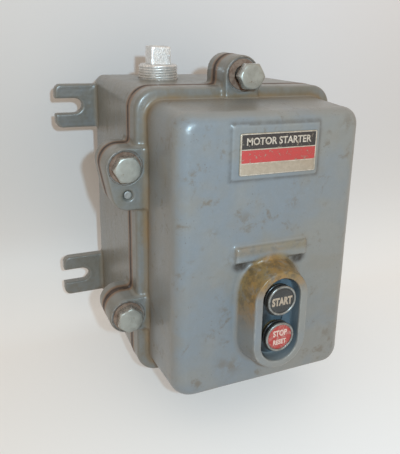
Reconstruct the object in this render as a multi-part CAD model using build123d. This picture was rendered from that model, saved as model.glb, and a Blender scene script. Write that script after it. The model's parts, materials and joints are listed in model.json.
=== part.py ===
from build123d import *
import math
import os

# Magnetic motor starter in a bolted cast enclosure, for a wall.
# Millimetres. +X right, +Y into the wall, +Z up, so the front faces -Y. The origin is the
# centre of the mounting-slot pattern on the back plane. A "depth" is a distance out from
# the wall, so depth d lies at Y = -d.

# ---- driving dimensions: enclosure ----
JOINT_DEPTH = 133.0        # machined joint between housing and cover
BACK_HALF = (81.5, 115.5)  # housing half width and half height at the wall
FRONT_HALF = (86.5, 120.5)  # the same at the joint, and the cover flange
BACK_CORNER, FRONT_CORNER = 9.0, 18.0
BACK_WALL = 9.0
CAVITY_HALF = (73.0, 106.0)
CAVITY_CORNER = 12.0

LUG_X, LUG_TOP, LUG_BOTTOM, LUG_THICK = 121.0, 107.5, 66.5, 9.0
LUG_ROOT_X, LUG_CORNER = 78.0, 6.0
SLOT_X, SLOT_Z, SLOT_R = 103.0, 87.25, 6.9

EAR_X, EAR_Z, TOP_EAR_Z = 95.0, 62.0, 130.0
EAR_R, EAR_DEPTH = 15.0, 118.0
DOWEL_X, DOWEL_Z, DOWEL_EAR_R = 93.0, 40.0, 12.5

FLANGE_FRONT, FLANGE_EDGE = 152.5, 3.5
EAR_FRONT, EAR_EDGE = 155.5, 1.6
EAR_WEB_X, EAR_WEB_Z = 77.0, 110.0   # where the ears' webs end inside the walls
PAN_ROOT = (78.0, 111.5)
PAN_FRONT = (76.0, 110.3)
PAN_DEPTH, PAN_CORNER = 213.5, 13.0
PAN_EDGE_DEPTH = 12.0                # the front edges round off over this depth
PAN_EDGE_SIDE, PAN_EDGE_TOP, PAN_EDGE_BOTTOM = 12.0, 9.0, 5.0
PAN_EDGE_STEPS = 5
COVER_CAVITY = (67.0, 101.0)
COVER_ROOF = 204.0

# ---- driving dimensions: cover furniture ----
HOOD_DEPTH, HOOD_Z = 236.0, -44.2
HOOD_BASE = (27.0, 45.5)   # half width, half height of the hood where it leaves the cover
HOOD_RIM = (22.4, 40.0)
RECESS = (15.8, 34.2)
RECESS_FLOOR = 222.0
LEDGE_X, LEDGE_Z, LEDGE_DEPTH = 31.0, (-2.0, 11.5), 218.0
LEDGE_EDGE = 2.0
PAD_X, PAD_Z, PAD_DEPTH = 36.5, (61.5, 102.5), 215.0
PAD_EDGE = 1.2
PLATE = (63.0, 30.5, 0.8)
PLATE_X, PLATE_Z = 1.5, 80.6

# ---- driving dimensions: cover bolts, 1/2 in hexagon heads ----
BOLT_R, BOLT_HOLE_R, TAPPED_R = 6.3, 7.0, 6.7
HEX_ACROSS_FLATS, HEX_HEIGHT = 19.05, 8.0
WASHER_R, WASHER_THICK = 12.2, 1.6
SPOTFACE_R, SPOTFACE_DEPTH = 13.4, 1.0
BOLT_END = 112.0
TOP_BOLT_BACKED_OUT = 9.0
DOWEL_R, DOWEL_HOLE_GAP = 3.175, 0.08
DOWEL_SINK_R, DOWEL_SINK = 4.375, 2.0

# ---- driving dimensions: conduit entries, 1 in taper pipe thread ----
HUB_X, HUB_Y, HUB_R = -43.0, -76.0, 22.0
PIPE_R, THREAD_PITCH, THREAD_GROOVES = 16.7, 2.2, 5
HUB_ROOT, HUB_FACE = 112.0, 119.6
PIPE_BORE = (100.0, 121.0)
PLUG_THREAD_TOP, PLUG_TOP, PLUG_SQUARE = 131.6, 146.8, 18.0

# ---- driving dimensions: push buttons ----
START_Z, STOP_Z = -27.6, -58.1
CAP_R, CAP_POCKET_R = 11.4, 9.2
CAP_BACK, CAP_POCKET_FRONT, CAP_FRONT = 228.8, 232.8, 234.2
BEZEL_R, LEGEND_R, BUTTON_FRONT = 12.0, 10.2, 236.0
BUTTON_PLATE_THICK = 1.5
STEM_R, BUSH_BORE = 4.0, 4.06
BUSH_R, NUT_R, NUT_THICK = 7.9, 8.7, 2.0
SPRING_WIRE = 0.45
START_STEM_END, STOP_STEM_END = 174.0, 127.0

# ---- driving dimensions: contact block on the inside of the cover ----
STATION_X, STATION_Z = 26.0, (-76.0, -9.0)
STATION_BACK, STATION_FRONT = 186.0, 196.0
STATION_SCREW_X, STATION_TERMINAL_X = 20.0, 21.0
TAB_X, TAB_ROOT_X, FOOT_END_X = 8.0, (15.5, 17.0), 24.5
TAB_HALF, STRIP = 3.5, 1.5
START_TAB = (STATION_BACK - 12.0, STATION_BACK - 10.5)
START_BRIDGE = (STATION_BACK - 5.8, STATION_BACK - 4.4)
STOP_TAB = (STATION_BACK - 3.8, STATION_BACK - 2.3)
STOP_BRIDGE = (STATION_BACK - 5.6, STATION_BACK - 4.2)
CLIP, CLIP_R = (COVER_ROOF - 2.2, COVER_ROOF - 1.3), 6.2

# ---- driving dimensions: works ----
PANEL_HALF, PANEL_BACK, PANEL_FRONT = (64.0, 98.0), 14.0, 17.0
PANEL_SCREW, PANEL_BOSS_R = (54.0, 88.0), 7.0
SCREW_HOLE_R, TAP_R, TAP_END = 2.3, 2.0, 4.0
GROUND_PLACE = (68.5, -60.0)
CONTACTOR_Z, CONTACTOR_HALF, CONTACTOR_FRONT = 44.0, (50.0, 46.0), 75.0
WELL_HALF = (41.0, 26.0)
FOOT, FOOT_REACH = (9.0, 6.0), 3.8
POLE_X, POLE_HALF = (-25.0, 0.0, 25.0), 5.0
BARRIER_X, BARRIER_HALF, BARRIER_HEIGHT = (-37.5, -12.5, 12.5, 37.5), 1.5, 7.0
TERMINAL_REACH, POLE_REACH = 41.0, (14.0, 45.0)
THICK_STRIP, THIN_STRIP = 2.0, 1.2
CORE_HALF, CORE_STACK = 27.0, 12.0
CORE_LEGS = ((-23.0, 4.0), (0.0, 8.0), (23.0, 4.0))
CORE_BACK, CORE_YOKE, CORE_FACE = 20.0, 30.0, 50.0
BOBBIN_DEPTH, WINDING_DEPTH = (31.0, 48.5), (32.5, 47.0)
BOBBIN_HALF, WAIST_HALF, BORE_HALF = (18.5, 22.0), (9.6, 13.6), (8.3, 12.3)
WINDING_HALF, WINDING_CORNER = (17.8, 21.2), 5.0
COIL_TAB_X, COIL_TAB_Z = 44.0, CONTACTOR_Z + TERMINAL_REACH
ARMATURE_GAP = 6.3
ARMATURE_BACK = CORE_FACE + ARMATURE_GAP
ARMATURE_FRONT = ARMATURE_BACK + 9.7
RIVET_X, RIVET_HOLE_R = (-12.0, 12.0), 2.0
BRIDGE_BACK = CONTACTOR_FRONT + THICK_STRIP + ARMATURE_GAP
BRIDGE_HALF, BRIDGE_THICK = (4.5, 21.0), 1.5
CARRIER_HALF, CARRIER_FRONT, WINDOW_FRONT, WINDOW_HALF = (38.0, 9.0), 100.0, 96.0, 6.5
POST_X, POST_R = 45.5, 4.2
ARC_FRONT, ARC_WALL, ARC_OVERHANG = 112.0, 4.0, 4.5
VENT_Z, VENT_HALF = 18.0, (7.0, 1.5)
RETURN_SPRING_X, RETURN_SPRING_R = 33.5, 3.4
LINK_STEP, LINK_END, LINK_HALF = (-8.5, -7.2), -24.0, 4.0

# ---- driving dimensions: overload relay ----
OVERLOAD_X, OVERLOAD_Z, OVERLOAD_FRONT = 50.0, (-88.0, -14.0), 60.0
OVERLOAD_SCREW_X, OVERLOAD_SCREW_Z = 44.0, (-26.0, -78.0)
HEATER_Z, HEATER_R, HEATER_LENGTH = (-44.0, -20.5), 4.3, 11.0
LOAD_TERMINAL_Z, LOAD_STRIP_Z, LOAD_BARRIER_TOP = -80.0, (-87.0, -70.0), -69.0
TRIP_HALF, TRIP_Z, TRIP_FRONT = 15.0, (-67.5, -49.0), 108.0
RESET_R, RESET_FRONT, RESET_END = 5.0, STOP_STEM_END - 0.4, 81.0
COLLAR, COLLAR_R = (117.0, 119.5), 7.8


def block(x, depth, z):
    """Box from (low, high) ranges of X, depth and Z."""
    size = Box(x[1] - x[0], depth[1] - depth[0], z[1] - z[0])
    return Pos((x[0] + x[1]) / 2, -(depth[0] + depth[1]) / 2, (z[0] + z[1]) / 2) * size


def rod(x, z, radius, back, front):
    """Cylinder along Y between two depths."""
    centre = Pos(x, -(back + front) / 2, z) * Rot(90, 0, 0)
    return centre * Cylinder(radius, front - back)


def upright(x, y, radius, low, high):
    """Cylinder along Z."""
    return Pos(x, y, (low + high) / 2) * Cylinder(radius, high - low)


def face_at(depth):
    """Plane at a depth that looks out at the room: local x is +X, local y is +Z."""
    return Plane((0, -depth, 0), x_dir=(1, 0, 0), z_dir=(0, -1, 0))


def tapered(back_half, back_corner, back, front_half, front_corner, front):
    """Rounded rectangular body between two depths."""
    low = face_at(back) * RectangleRounded(2 * back_half[0], 2 * back_half[1], back_corner)
    high = face_at(front) * RectangleRounded(2 * front_half[0], 2 * front_half[1], front_corner)
    return loft([low, high])


def obround(half, back, front, z, front_half=None):
    """Upright slot-shaped body between two depths, optionally drafted."""
    front_half = front_half or half
    outlines = []
    for (wide, tall), depth in ((half, back), (front_half, front)):
        sketch = Rot(0, 0, 90) * SlotOverall(2 * tall, 2 * wide)
        outlines.append(face_at(depth) * Pos(0, z) * sketch)
    return loft(outlines)


def around(centre, half):
    return (centre - half, centre + half)


def coil_spring(x, z, radius, back, front, turns, wire=SPRING_WIRE):
    """Round-wire helix along Y between two depths."""
    height = front - back - 2 * wire
    path = Helix(height / turns, height, radius)
    start = Plane(origin=path @ 0, z_dir=path % 0)
    helix = sweep(start * Circle(wire), path)
    return Pos(x, -(back + wire), z) * Rot(90, 0, 0) * helix


def screw(x, z, seat, end, head_r=3.6, head=2.4, shank_r=1.9):
    """Slotted round-head screw that enters towards the wall from a seat depth."""
    body = rod(x, z, head_r, seat, seat + head) + rod(x, z, shank_r, end, seat)
    return body - block(around(x, head_r), (seat + head / 2, seat + head), around(z, 0.5))


def ear_places():
    """Centres of the six bolt ears, and whether the ear also holds a dowel."""
    sides = [(sx * EAR_X, sz * EAR_Z, sx != sz) for sx in (-1, 1) for sz in (-1, 1)]
    return sides + [(0.0, TOP_EAR_Z, False), (0.0, -TOP_EAR_Z, False)]


def dowel_places():
    """One dowel in the upper left ear and one in the ear diagonally opposite."""
    return [(-DOWEL_X, DOWEL_Z), (DOWEL_X, -DOWEL_Z)]


def ear(x, z, has_dowel, back, front):
    """Round ear joined to the flange by a straight web, longer where it holds a dowel."""
    if x == 0.0:
        web = block((-EAR_R, EAR_R), (back, front), sorted((math.copysign(EAR_WEB_Z, z), z)))
        return rod(x, z, EAR_R, back, front) + web
    side = math.copysign(1.0, x)
    web = block(sorted((side * EAR_WEB_X, x)), (back, front), around(z, EAR_R))
    shape = rod(x, z, EAR_R, back, front) + web
    if has_dowel:
        inward = -math.copysign(1.0, z)
        dowel_x, dowel_z = side * DOWEL_X, -inward * DOWEL_Z
        circles = Pos(x, z) * Circle(EAR_R) + Pos(dowel_x, dowel_z) * Circle(DOWEL_EAR_R)
        sketch = make_hull(circles.edges())
        shape += extrude(face_at(back) * sketch, front - back)
        edge_z = dowel_z + inward * DOWEL_EAR_R
        shape += block(sorted((side * EAR_WEB_X, dowel_x)), (back, front), sorted((z, edge_z)))
    return shape


def quarters():
    """Sign pairs for things that repeat left, right, up and down."""
    return [(side, up) for side in (-1, 1) for up in (-1, 1)]


def lug(side, up):
    """Wall lug with a slot that is open at its outer end."""
    wide = sorted((side * LUG_ROOT_X, side * LUG_X))
    plate = block(wide, (0, LUG_THICK), sorted((up * LUG_BOTTOM, up * LUG_TOP)))
    corners = plate.edges().filter_by(Axis.Y).sort_by(Axis.X)
    plate = fillet(corners[:2] if side < 0 else corners[-2:], LUG_CORNER)
    x, z = side * SLOT_X, up * SLOT_Z
    open_end = sorted((x, side * (LUG_X + 1)))
    plate -= rod(x, z, SLOT_R, -1, LUG_THICK + 1)
    return plate - block(open_end, (-1, LUG_THICK + 1), around(z, SLOT_R))


def rear_housing():
    body = tapered(BACK_HALF, BACK_CORNER, 0, FRONT_HALF, FRONT_CORNER, JOINT_DEPTH)
    for x, z, has_dowel in ear_places():
        body += ear(x, z, has_dowel, EAR_DEPTH, JOINT_DEPTH)
    for side, up in quarters():
        body += lug(side, up)
    for up in (-1, 1):
        body += upright(HUB_X, HUB_Y, HUB_R, *sorted((up * HUB_ROOT, up * HUB_FACE)))
    body -= tapered(CAVITY_HALF, CAVITY_CORNER, BACK_WALL, CAVITY_HALF, CAVITY_CORNER, JOINT_DEPTH)
    for x, z in panel_screw_places():
        body += rod(x, z, PANEL_BOSS_R, BACK_WALL, PANEL_BACK)
        body -= rod(x, z, TAP_R, TAP_END, PANEL_BACK)
    for x, z, _ in ear_places():
        body -= rod(x, z, TAPPED_R, EAR_DEPTH - 1, JOINT_DEPTH)
    for x, z in dowel_places():
        body -= rod(x, z, DOWEL_R, EAR_DEPTH + 2.0, JOINT_DEPTH)
    for up in (-1, 1):
        body -= upright(HUB_X, HUB_Y, PIPE_R, *sorted((up * PIPE_BORE[0], up * PIPE_BORE[1])))
    return body - rod(*GROUND_PLACE, TAP_R, TAP_END, BACK_WALL)


def pan_section(turn):
    """Outline of the pan where its front edges have turned through an angle, in degrees."""
    shrink = 1 - math.cos(math.radians(turn))
    depth = PAN_DEPTH - PAN_EDGE_DEPTH * (1 - math.sin(math.radians(turn)))
    half_x = PAN_FRONT[0] - PAN_EDGE_SIDE * shrink
    top = PAN_FRONT[1] - PAN_EDGE_TOP * shrink
    bottom = -PAN_FRONT[1] + PAN_EDGE_BOTTOM * shrink
    outline = RectangleRounded(2 * half_x, top - bottom, PAN_CORNER - PAN_EDGE_BOTTOM * shrink)
    return face_at(depth) * Pos(0, (top + bottom) / 2) * outline


def pan():
    """Deep front of the cover: drafted walls and front edges rounded by different amounts."""
    wall_front = PAN_DEPTH - PAN_EDGE_DEPTH
    walls = tapered(PAN_ROOT, PAN_CORNER, FLANGE_FRONT - 1.0, PAN_FRONT, PAN_CORNER, wall_front)
    turns = [90.0 * step / PAN_EDGE_STEPS for step in range(PAN_EDGE_STEPS + 1)]
    return walls + loft([pan_section(turn) for turn in turns])


def front_edges(shape):
    """Edges of the face that looks out at the room."""
    return shape.faces().sort_by(Axis.Y)[0].edges()


def cover_shell():
    flange = tapered(FRONT_HALF, FRONT_CORNER, JOINT_DEPTH, FRONT_HALF, FRONT_CORNER, FLANGE_FRONT)
    body = fillet(front_edges(flange), FLANGE_EDGE) + pan()
    for x, z, has_dowel in ear_places():
        body += fillet(front_edges(ear(x, z, has_dowel, JOINT_DEPTH, EAR_FRONT)), EAR_EDGE)
    body += obround(HOOD_BASE, PAN_DEPTH - 2.0, HOOD_DEPTH, HOOD_Z, HOOD_RIM)
    ledge = block((-LEDGE_X, LEDGE_X), (PAN_DEPTH - 2.0, LEDGE_DEPTH), LEDGE_Z)
    body += chamfer(front_edges(ledge), LEDGE_EDGE)
    pad = block((-PAD_X, PAD_X), (PAN_DEPTH - 2.0, PAD_DEPTH), PAD_Z)
    body += chamfer(front_edges(pad), PAD_EDGE)
    body -= obround(RECESS, RECESS_FLOOR, HOOD_DEPTH + 1.0, HOOD_Z)
    body -= tapered(COVER_CAVITY, CAVITY_CORNER, JOINT_DEPTH, COVER_CAVITY, CAVITY_CORNER, COVER_ROOF)
    for z in (START_Z, STOP_Z):
        body -= rod(0, z, BUSH_R, COVER_ROOF - 1.0, RECESS_FLOOR)
    for x, z, _ in ear_places():
        body -= rod(x, z, BOLT_HOLE_R, JOINT_DEPTH, EAR_FRONT)
        body -= rod(x, z, SPOTFACE_R, EAR_FRONT - SPOTFACE_DEPTH, EAR_FRONT + 1.0)
    for x, z in dowel_places():
        body -= rod(x, z, DOWEL_R + DOWEL_HOLE_GAP, JOINT_DEPTH, EAR_FRONT)
        body -= rod(x, z, DOWEL_SINK_R, EAR_FRONT - DOWEL_SINK, EAR_FRONT)
    for side in (-1, 1):
        body += rod(side * STATION_SCREW_X, HOOD_Z, 5.0, STATION_FRONT, COVER_ROOF)
        body -= rod(side * STATION_SCREW_X, HOOD_Z, 1.9, STATION_FRONT, STATION_FRONT + 9.0)
    return body


def cover_bolts():
    bolts = []
    for x, z, _ in ear_places():
        backed_out = TOP_BOLT_BACKED_OUT if z == TOP_EAR_Z else 0.0
        seat = EAR_FRONT - SPOTFACE_DEPTH + WASHER_THICK + backed_out
        hexagon = RegularPolygon(HEX_ACROSS_FLATS / 2, 6, major_radius=False)
        head = extrude(face_at(seat) * Pos(x, z) * hexagon, HEX_HEIGHT)
        crown = Pos(x, -(seat + HEX_HEIGHT / 2), z) * Rot(90, 0, 0)
        head = head & crown * chamfer_disc(10.6, HEX_HEIGHT, 1.4)
        bolts.append(head + rod(x, z, BOLT_R, BOLT_END + backed_out, seat))
    return bolts


def chamfer_disc(radius, height, size):
    """Disc with its outward rim chamfered, to crown a bolt head."""
    disc = Cylinder(radius, height)
    return chamfer(disc.edges().sort_by(Axis.Z)[-1], size)


def bolt_washers():
    seat = EAR_FRONT - SPOTFACE_DEPTH
    rings = []
    for x, z, _ in ear_places():
        ring = rod(x, z, WASHER_R, seat, seat + WASHER_THICK)
        rings.append(ring - rod(x, z, BOLT_HOLE_R, seat, seat + WASHER_THICK))
    return rings


def dowel_pins():
    return [rod(x, z, DOWEL_R, EAR_DEPTH + 2.0, EAR_FRONT - 1.6) for x, z in dowel_places()]


def conduit_plug():
    """Pipe plug: ring grooves stand for the thread on the length that shows."""
    thread = upright(HUB_X, HUB_Y, PIPE_R - 0.05, HUB_FACE - 13.0, PLUG_THREAD_TOP)
    for groove in range(THREAD_GROOVES):
        low, high = around(PLUG_THREAD_TOP - THREAD_PITCH * (groove + 0.9), 0.5)
        ring = upright(HUB_X, HUB_Y, PIPE_R + 1.0, low, high)
        thread -= ring - upright(HUB_X, HUB_Y, PIPE_R - 1.0, low, high)
    square = Pos(HUB_X, HUB_Y, (PLUG_THREAD_TOP + PLUG_TOP) / 2)
    head = square * Box(PLUG_SQUARE, PLUG_SQUARE, PLUG_TOP - PLUG_THREAD_TOP)
    return thread + chamfer(head.edges().group_by(Axis.Z)[-1], 1.0)


def mounting_panel():
    wide, tall = around(0, PANEL_HALF[0]), around(0, PANEL_HALF[1])
    plate = block(wide, (PANEL_BACK, PANEL_FRONT), tall)
    for x, z in panel_screw_places() + contactor_screw_places() + overload_screw_places():
        plate -= rod(x, z, SCREW_HOLE_R, PANEL_BACK, PANEL_FRONT)
    return plate


def panel_screw_places():
    return [(side * PANEL_SCREW[0], up * PANEL_SCREW[1]) for side, up in quarters()]


def contactor_screw_places():
    reach = CONTACTOR_HALF[1] + FOOT_REACH
    return [(0.0, CONTACTOR_Z + reach), (0.0, CONTACTOR_Z - reach)]


def overload_screw_places():
    return [(side * OVERLOAD_SCREW_X, z) for side in (-1, 1) for z in OVERLOAD_SCREW_Z]


# ---- contactor ----
def about_contactor(half_x, half_z, depth):
    """Block centred on the contactor, from half width, half height and a depth range."""
    return block(around(0, half_x), depth, around(CONTACTOR_Z, half_z))


def contactor_base():
    body = about_contactor(*CONTACTOR_HALF, (PANEL_FRONT, CONTACTOR_FRONT))
    body -= about_contactor(*WELL_HALF, (CORE_BACK, CONTACTOR_FRONT))
    foot_depth = (PANEL_FRONT, PANEL_FRONT + FOOT[1])
    for x, z in contactor_screw_places():
        body += block(around(x, FOOT[0]), foot_depth, around(z, FOOT_REACH))
        body -= rod(x, z, SCREW_HOLE_R, *foot_depth)
    barrier_depth = (CONTACTOR_FRONT, CONTACTOR_FRONT + BARRIER_HEIGHT)
    for up in (-1, 1):
        ledge = sorted((CONTACTOR_Z + up * 36.5, CONTACTOR_Z + up * CONTACTOR_HALF[1]))
        for x in BARRIER_X:
            body += block(around(x, BARRIER_HALF), barrier_depth, ledge)
        for x in POLE_X:
            body -= rod(x, terminal_z(up), 1.95, CONTACTOR_FRONT - 12.0, CONTACTOR_FRONT)
    for side in (-1, 1):
        body -= rod(side * POST_X, CONTACTOR_Z, 1.75, CONTACTOR_FRONT - 12.0, CONTACTOR_FRONT)
        body -= rod(side * COIL_TAB_X, COIL_TAB_Z, 1.55, CONTACTOR_FRONT - 9.0, CONTACTOR_FRONT)
    return body


def terminal_z(up):
    return CONTACTOR_Z + up * TERMINAL_REACH


def e_core(back, front, yoke_front):
    """E-shaped lamination stack: a yoke with three legs that reach to a depth."""
    body = about_contactor(CORE_HALF, CORE_STACK, (back, yoke_front))
    for x, half in CORE_LEGS:
        body += block(around(x, half), (back, front), around(CONTACTOR_Z, CORE_STACK))
    return body


def coil_bobbin():
    outer = about_contactor(*BOBBIN_HALF, BOBBIN_DEPTH)
    room = about_contactor(BOBBIN_HALF[0] + 1.0, BOBBIN_HALF[1] + 1.0, WINDING_DEPTH)
    room -= about_contactor(*WAIST_HALF, WINDING_DEPTH)
    return outer - room - about_contactor(*BORE_HALF, BOBBIN_DEPTH)


def coil_winding():
    turns = about_contactor(*WINDING_HALF, WINDING_DEPTH)
    turns = fillet(turns.edges().filter_by(Axis.Y), WINDING_CORNER)
    return turns - about_contactor(*WAIST_HALF, WINDING_DEPTH)


def coil_terminals():
    tabs = []
    depth = (CONTACTOR_FRONT, CONTACTOR_FRONT + THIN_STRIP)
    for side in (-1, 1):
        x = side * COIL_TAB_X
        tab = block(around(x, 4.0), depth, around(COIL_TAB_Z, 4.5))
        tabs.append(tab - rod(x, COIL_TAB_Z, 1.6, *depth))
    return tabs


def pole_strips(up):
    """Fixed contact strips of one side: the line side is up, the load side is down."""
    strips = []
    depth = (CONTACTOR_FRONT, CONTACTOR_FRONT + THICK_STRIP)
    reach = sorted(CONTACTOR_Z + up * end for end in POLE_REACH)
    for x in POLE_X:
        strip = block(around(x, POLE_HALF), depth, reach)
        strips.append(strip - rod(x, terminal_z(up), 2.0, *depth))
    return strips


def link_straps():
    """Stepped straps from the contactor's load side down to the overload heaters."""
    straps = []
    top = terminal_z(-1) + 4.0
    back, front = CONTACTOR_FRONT + THICK_STRIP, OVERLOAD_FRONT + THICK_STRIP
    upper, lower = (back, back + THIN_STRIP), (front, front + THIN_STRIP)
    for x in POLE_X:
        wide = around(x, LINK_HALF)
        strap = block(wide, upper, (LINK_STEP[0], top))
        strap += block(wide, (front, back + THIN_STRIP), LINK_STEP)
        strap += block(wide, lower, (LINK_END, LINK_STEP[1]))
        strap -= rod(x, terminal_z(-1), 2.0, *upper)
        straps.append(strap - rod(x, HEATER_Z[1], 2.0, *lower))
    return straps


def terminal_screws():
    line_seat = CONTACTOR_FRONT + THICK_STRIP
    end = CONTACTOR_FRONT - 11.0
    line = [screw(x, terminal_z(1), line_seat, end) for x in POLE_X]
    return line + [screw(x, terminal_z(-1), line_seat + THIN_STRIP, end) for x in POLE_X]


def arc_cover():
    half_x, half_z = CONTACTOR_HALF[0], WELL_HALF[1] + ARC_OVERHANG
    back, roof = CONTACTOR_FRONT + THICK_STRIP, ARC_FRONT - ARC_WALL
    body = about_contactor(half_x, half_z, (back, ARC_FRONT))
    body -= about_contactor(half_x - ARC_WALL, half_z - ARC_WALL, (back, roof))
    body = fillet(body.edges().filter_by(Axis.Y).group_by(SortBy.LENGTH)[-1], 2.5)
    for x in POLE_X:
        for z in (CONTACTOR_Z - VENT_Z, CONTACTOR_Z + VENT_Z):
            body -= block(around(x, VENT_HALF[0]), (roof, ARC_FRONT), around(z, VENT_HALF[1]))
    for side in (-1, 1):
        body += rod(side * POST_X, CONTACTOR_Z, POST_R, CONTACTOR_FRONT, ARC_FRONT)
        body -= rod(side * POST_X, CONTACTOR_Z, 1.8, CONTACTOR_FRONT, ARC_FRONT)
    return body


def contact_carrier():
    """Crossbar with a window for each moving contact and its spring."""
    body = about_contactor(*CARRIER_HALF, (ARMATURE_FRONT, CARRIER_FRONT))
    window = (BRIDGE_BACK, WINDOW_FRONT)
    for x in POLE_X:
        body -= block(around(x, WINDOW_HALF), window, around(CONTACTOR_Z, CARRIER_HALF[1]))
    for x in RIVET_X:
        body -= rod(x, CONTACTOR_Z, RIVET_HOLE_R, ARMATURE_FRONT, ARMATURE_FRONT + 6.0)
    return body


def armature():
    body = about_contactor(CORE_HALF, CORE_STACK, (ARMATURE_BACK, ARMATURE_FRONT))
    for x in RIVET_X:
        body -= rod(x, CONTACTOR_Z, RIVET_HOLE_R, ARMATURE_BACK, ARMATURE_FRONT)
    return body


def armature_rivets():
    depth = (ARMATURE_BACK + 0.5, ARMATURE_FRONT + 5.5)
    return [rod(x, CONTACTOR_Z, RIVET_HOLE_R - 0.05, *depth) for x in RIVET_X]


def moving_contacts():
    bars = []
    depth = (BRIDGE_BACK, BRIDGE_BACK + BRIDGE_THICK)
    for x in POLE_X:
        bar = block(around(x, BRIDGE_HALF[0]), depth, around(CONTACTOR_Z, BRIDGE_HALF[1]))
        bars.append(fillet(bar.edges().filter_by(Axis.Y), 1.5))
    return bars


def contact_springs():
    back = BRIDGE_BACK + BRIDGE_THICK + 0.1
    return [coil_spring(x, CONTACTOR_Z, 3.0, back, WINDOW_FRONT - 0.1, 4) for x in POLE_X]


def return_springs():
    back, front = CORE_BACK + 0.1, ARMATURE_FRONT - 0.3
    springs = (-RETURN_SPRING_X, RETURN_SPRING_X)
    return [coil_spring(x, CONTACTOR_Z, RETURN_SPRING_R, back, front, 10) for x in springs]


# ---- overload relay ----
def overload_base():
    body = block(around(0, OVERLOAD_X), (PANEL_FRONT, OVERLOAD_FRONT), OVERLOAD_Z)
    barrier_depth = (OVERLOAD_FRONT, OVERLOAD_FRONT + BARRIER_HEIGHT)
    for x in BARRIER_X:
        body += block(around(x, BARRIER_HALF), barrier_depth, (OVERLOAD_Z[0], LOAD_BARRIER_TOP))
    for x in POLE_X:
        for z in HEATER_Z + (LOAD_TERMINAL_Z,):
            body -= rod(x, z, 1.95, OVERLOAD_FRONT - 10.0, OVERLOAD_FRONT)
    for x, z in overload_screw_places():
        body -= rod(x, z, SCREW_HOLE_R, PANEL_FRONT, OVERLOAD_FRONT)
    return body


def heater_elements():
    """Each heater is a flat strip with its wound resistance element lying across it."""
    parts = []
    depth = (OVERLOAD_FRONT, OVERLOAD_FRONT + THICK_STRIP)
    middle = sum(HEATER_Z) / 2
    for x in POLE_X:
        strip = block(around(x, POLE_HALF), depth, (HEATER_Z[0] - 4.0, HEATER_Z[1] + 4.0))
        for z in HEATER_Z:
            strip -= rod(x, z, 2.0, *depth)
        element = upright(x, -(depth[1] + HEATER_R - 0.3), HEATER_R, *around(middle, HEATER_LENGTH / 2))
        parts.append(strip + element)
    return parts


def heater_screws():
    seat, end = OVERLOAD_FRONT + THICK_STRIP, OVERLOAD_FRONT - 9.0
    lower = [screw(x, HEATER_Z[0], seat, end) for x in POLE_X]
    return lower + [screw(x, HEATER_Z[1], seat + THIN_STRIP, end) for x in POLE_X]


def overload_terminals():
    strips = []
    depth = (OVERLOAD_FRONT, OVERLOAD_FRONT + THICK_STRIP)
    for x in POLE_X:
        strip = block(around(x, POLE_HALF), depth, LOAD_STRIP_Z)
        strips.append(strip - rod(x, LOAD_TERMINAL_Z, 2.0, *depth))
    return strips


def overload_terminal_screws():
    seat, end = OVERLOAD_FRONT + THICK_STRIP, OVERLOAD_FRONT - 9.0
    return [screw(x, LOAD_TERMINAL_Z, seat, end) for x in POLE_X]


def trip_housing():
    body = block(around(0, TRIP_HALF), (OVERLOAD_FRONT, TRIP_FRONT), TRIP_Z)
    body = fillet(body.edges().filter_by(Axis.Y), 2.0)
    return body - rod(0, STOP_Z, RESET_R + 0.3, RESET_END - 6.0, TRIP_FRONT)


def reset_plunger():
    body = rod(0, STOP_Z, RESET_R, RESET_END, RESET_FRONT) + rod(0, STOP_Z, COLLAR_R, *COLLAR)
    return chamfer(front_edges(body), 0.8)


def reset_spring():
    return coil_spring(0, STOP_Z, 6.6, TRIP_FRONT + 0.1, COLLAR[0] - 0.1, 3)


# ---- push-button station on the inside of the cover ----
def station_base():
    body = block(around(0, STATION_X), (STATION_BACK, STATION_FRONT), STATION_Z)
    body = fillet(body.edges().filter_by(Axis.Y), 3.0)
    for z in (START_Z, STOP_Z):
        body -= rod(0, z, STEM_R + 0.4, STATION_BACK, STATION_FRONT)
        for side in (-1, 1):
            body -= rod(side * STATION_TERMINAL_X, z, 1.6, STATION_BACK, STATION_FRONT)
    for side in (-1, 1):
        body -= rod(side * STATION_SCREW_X, HOOD_Z, 2.0, STATION_BACK, STATION_FRONT)
    return body


def station_screws():
    shapes = []
    for side in (-1, 1):
        x = side * STATION_SCREW_X
        shank = rod(x, HOOD_Z, 1.85, STATION_BACK, STATION_FRONT + 8.0)
        shapes.append(shank + rod(x, HOOD_Z, 3.6, STATION_BACK - 2.4, STATION_BACK))
    return shapes


def station_contacts():
    """Fixed contacts: an upright from the block with a tab that the bridge lands on."""
    shapes = []
    foot_depth = (STATION_BACK - STRIP, STATION_BACK)
    for z, tab in ((START_Z, START_TAB), (STOP_Z, STOP_TAB)):
        tall = around(z, TAB_HALF)
        for side in (-1, 1):
            near, far = side * TAB_ROOT_X[0], side * TAB_ROOT_X[1]
            shape = block(sorted((near, far)), (tab[0], STATION_BACK), tall)
            shape += block(sorted((near, side * FOOT_END_X)), foot_depth, tall)
            shape += block(sorted((side * TAB_X, far)), tab, tall)
            shapes.append(shape - rod(side * STATION_TERMINAL_X, z, 1.65, *foot_depth))
    return shapes


def station_terminal_screws():
    shapes = []
    seat = STATION_BACK - STRIP
    for z in (START_Z, STOP_Z):
        for side in (-1, 1):
            x = side * STATION_TERMINAL_X
            head = rod(x, z, 2.8, seat - 2.0, seat)
            shapes.append(head + rod(x, z, 1.5, seat, STATION_FRONT - 1.0))
    return shapes


def button_plate():
    half = (RECESS[0] - 0.3, RECESS[1] - 0.3)
    depth = (RECESS_FLOOR, RECESS_FLOOR + BUTTON_PLATE_THICK)
    plate = obround(half, *depth, HOOD_Z)
    for z in (START_Z, STOP_Z):
        plate -= rod(0, z, BUSH_R, *depth)
    return plate


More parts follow.
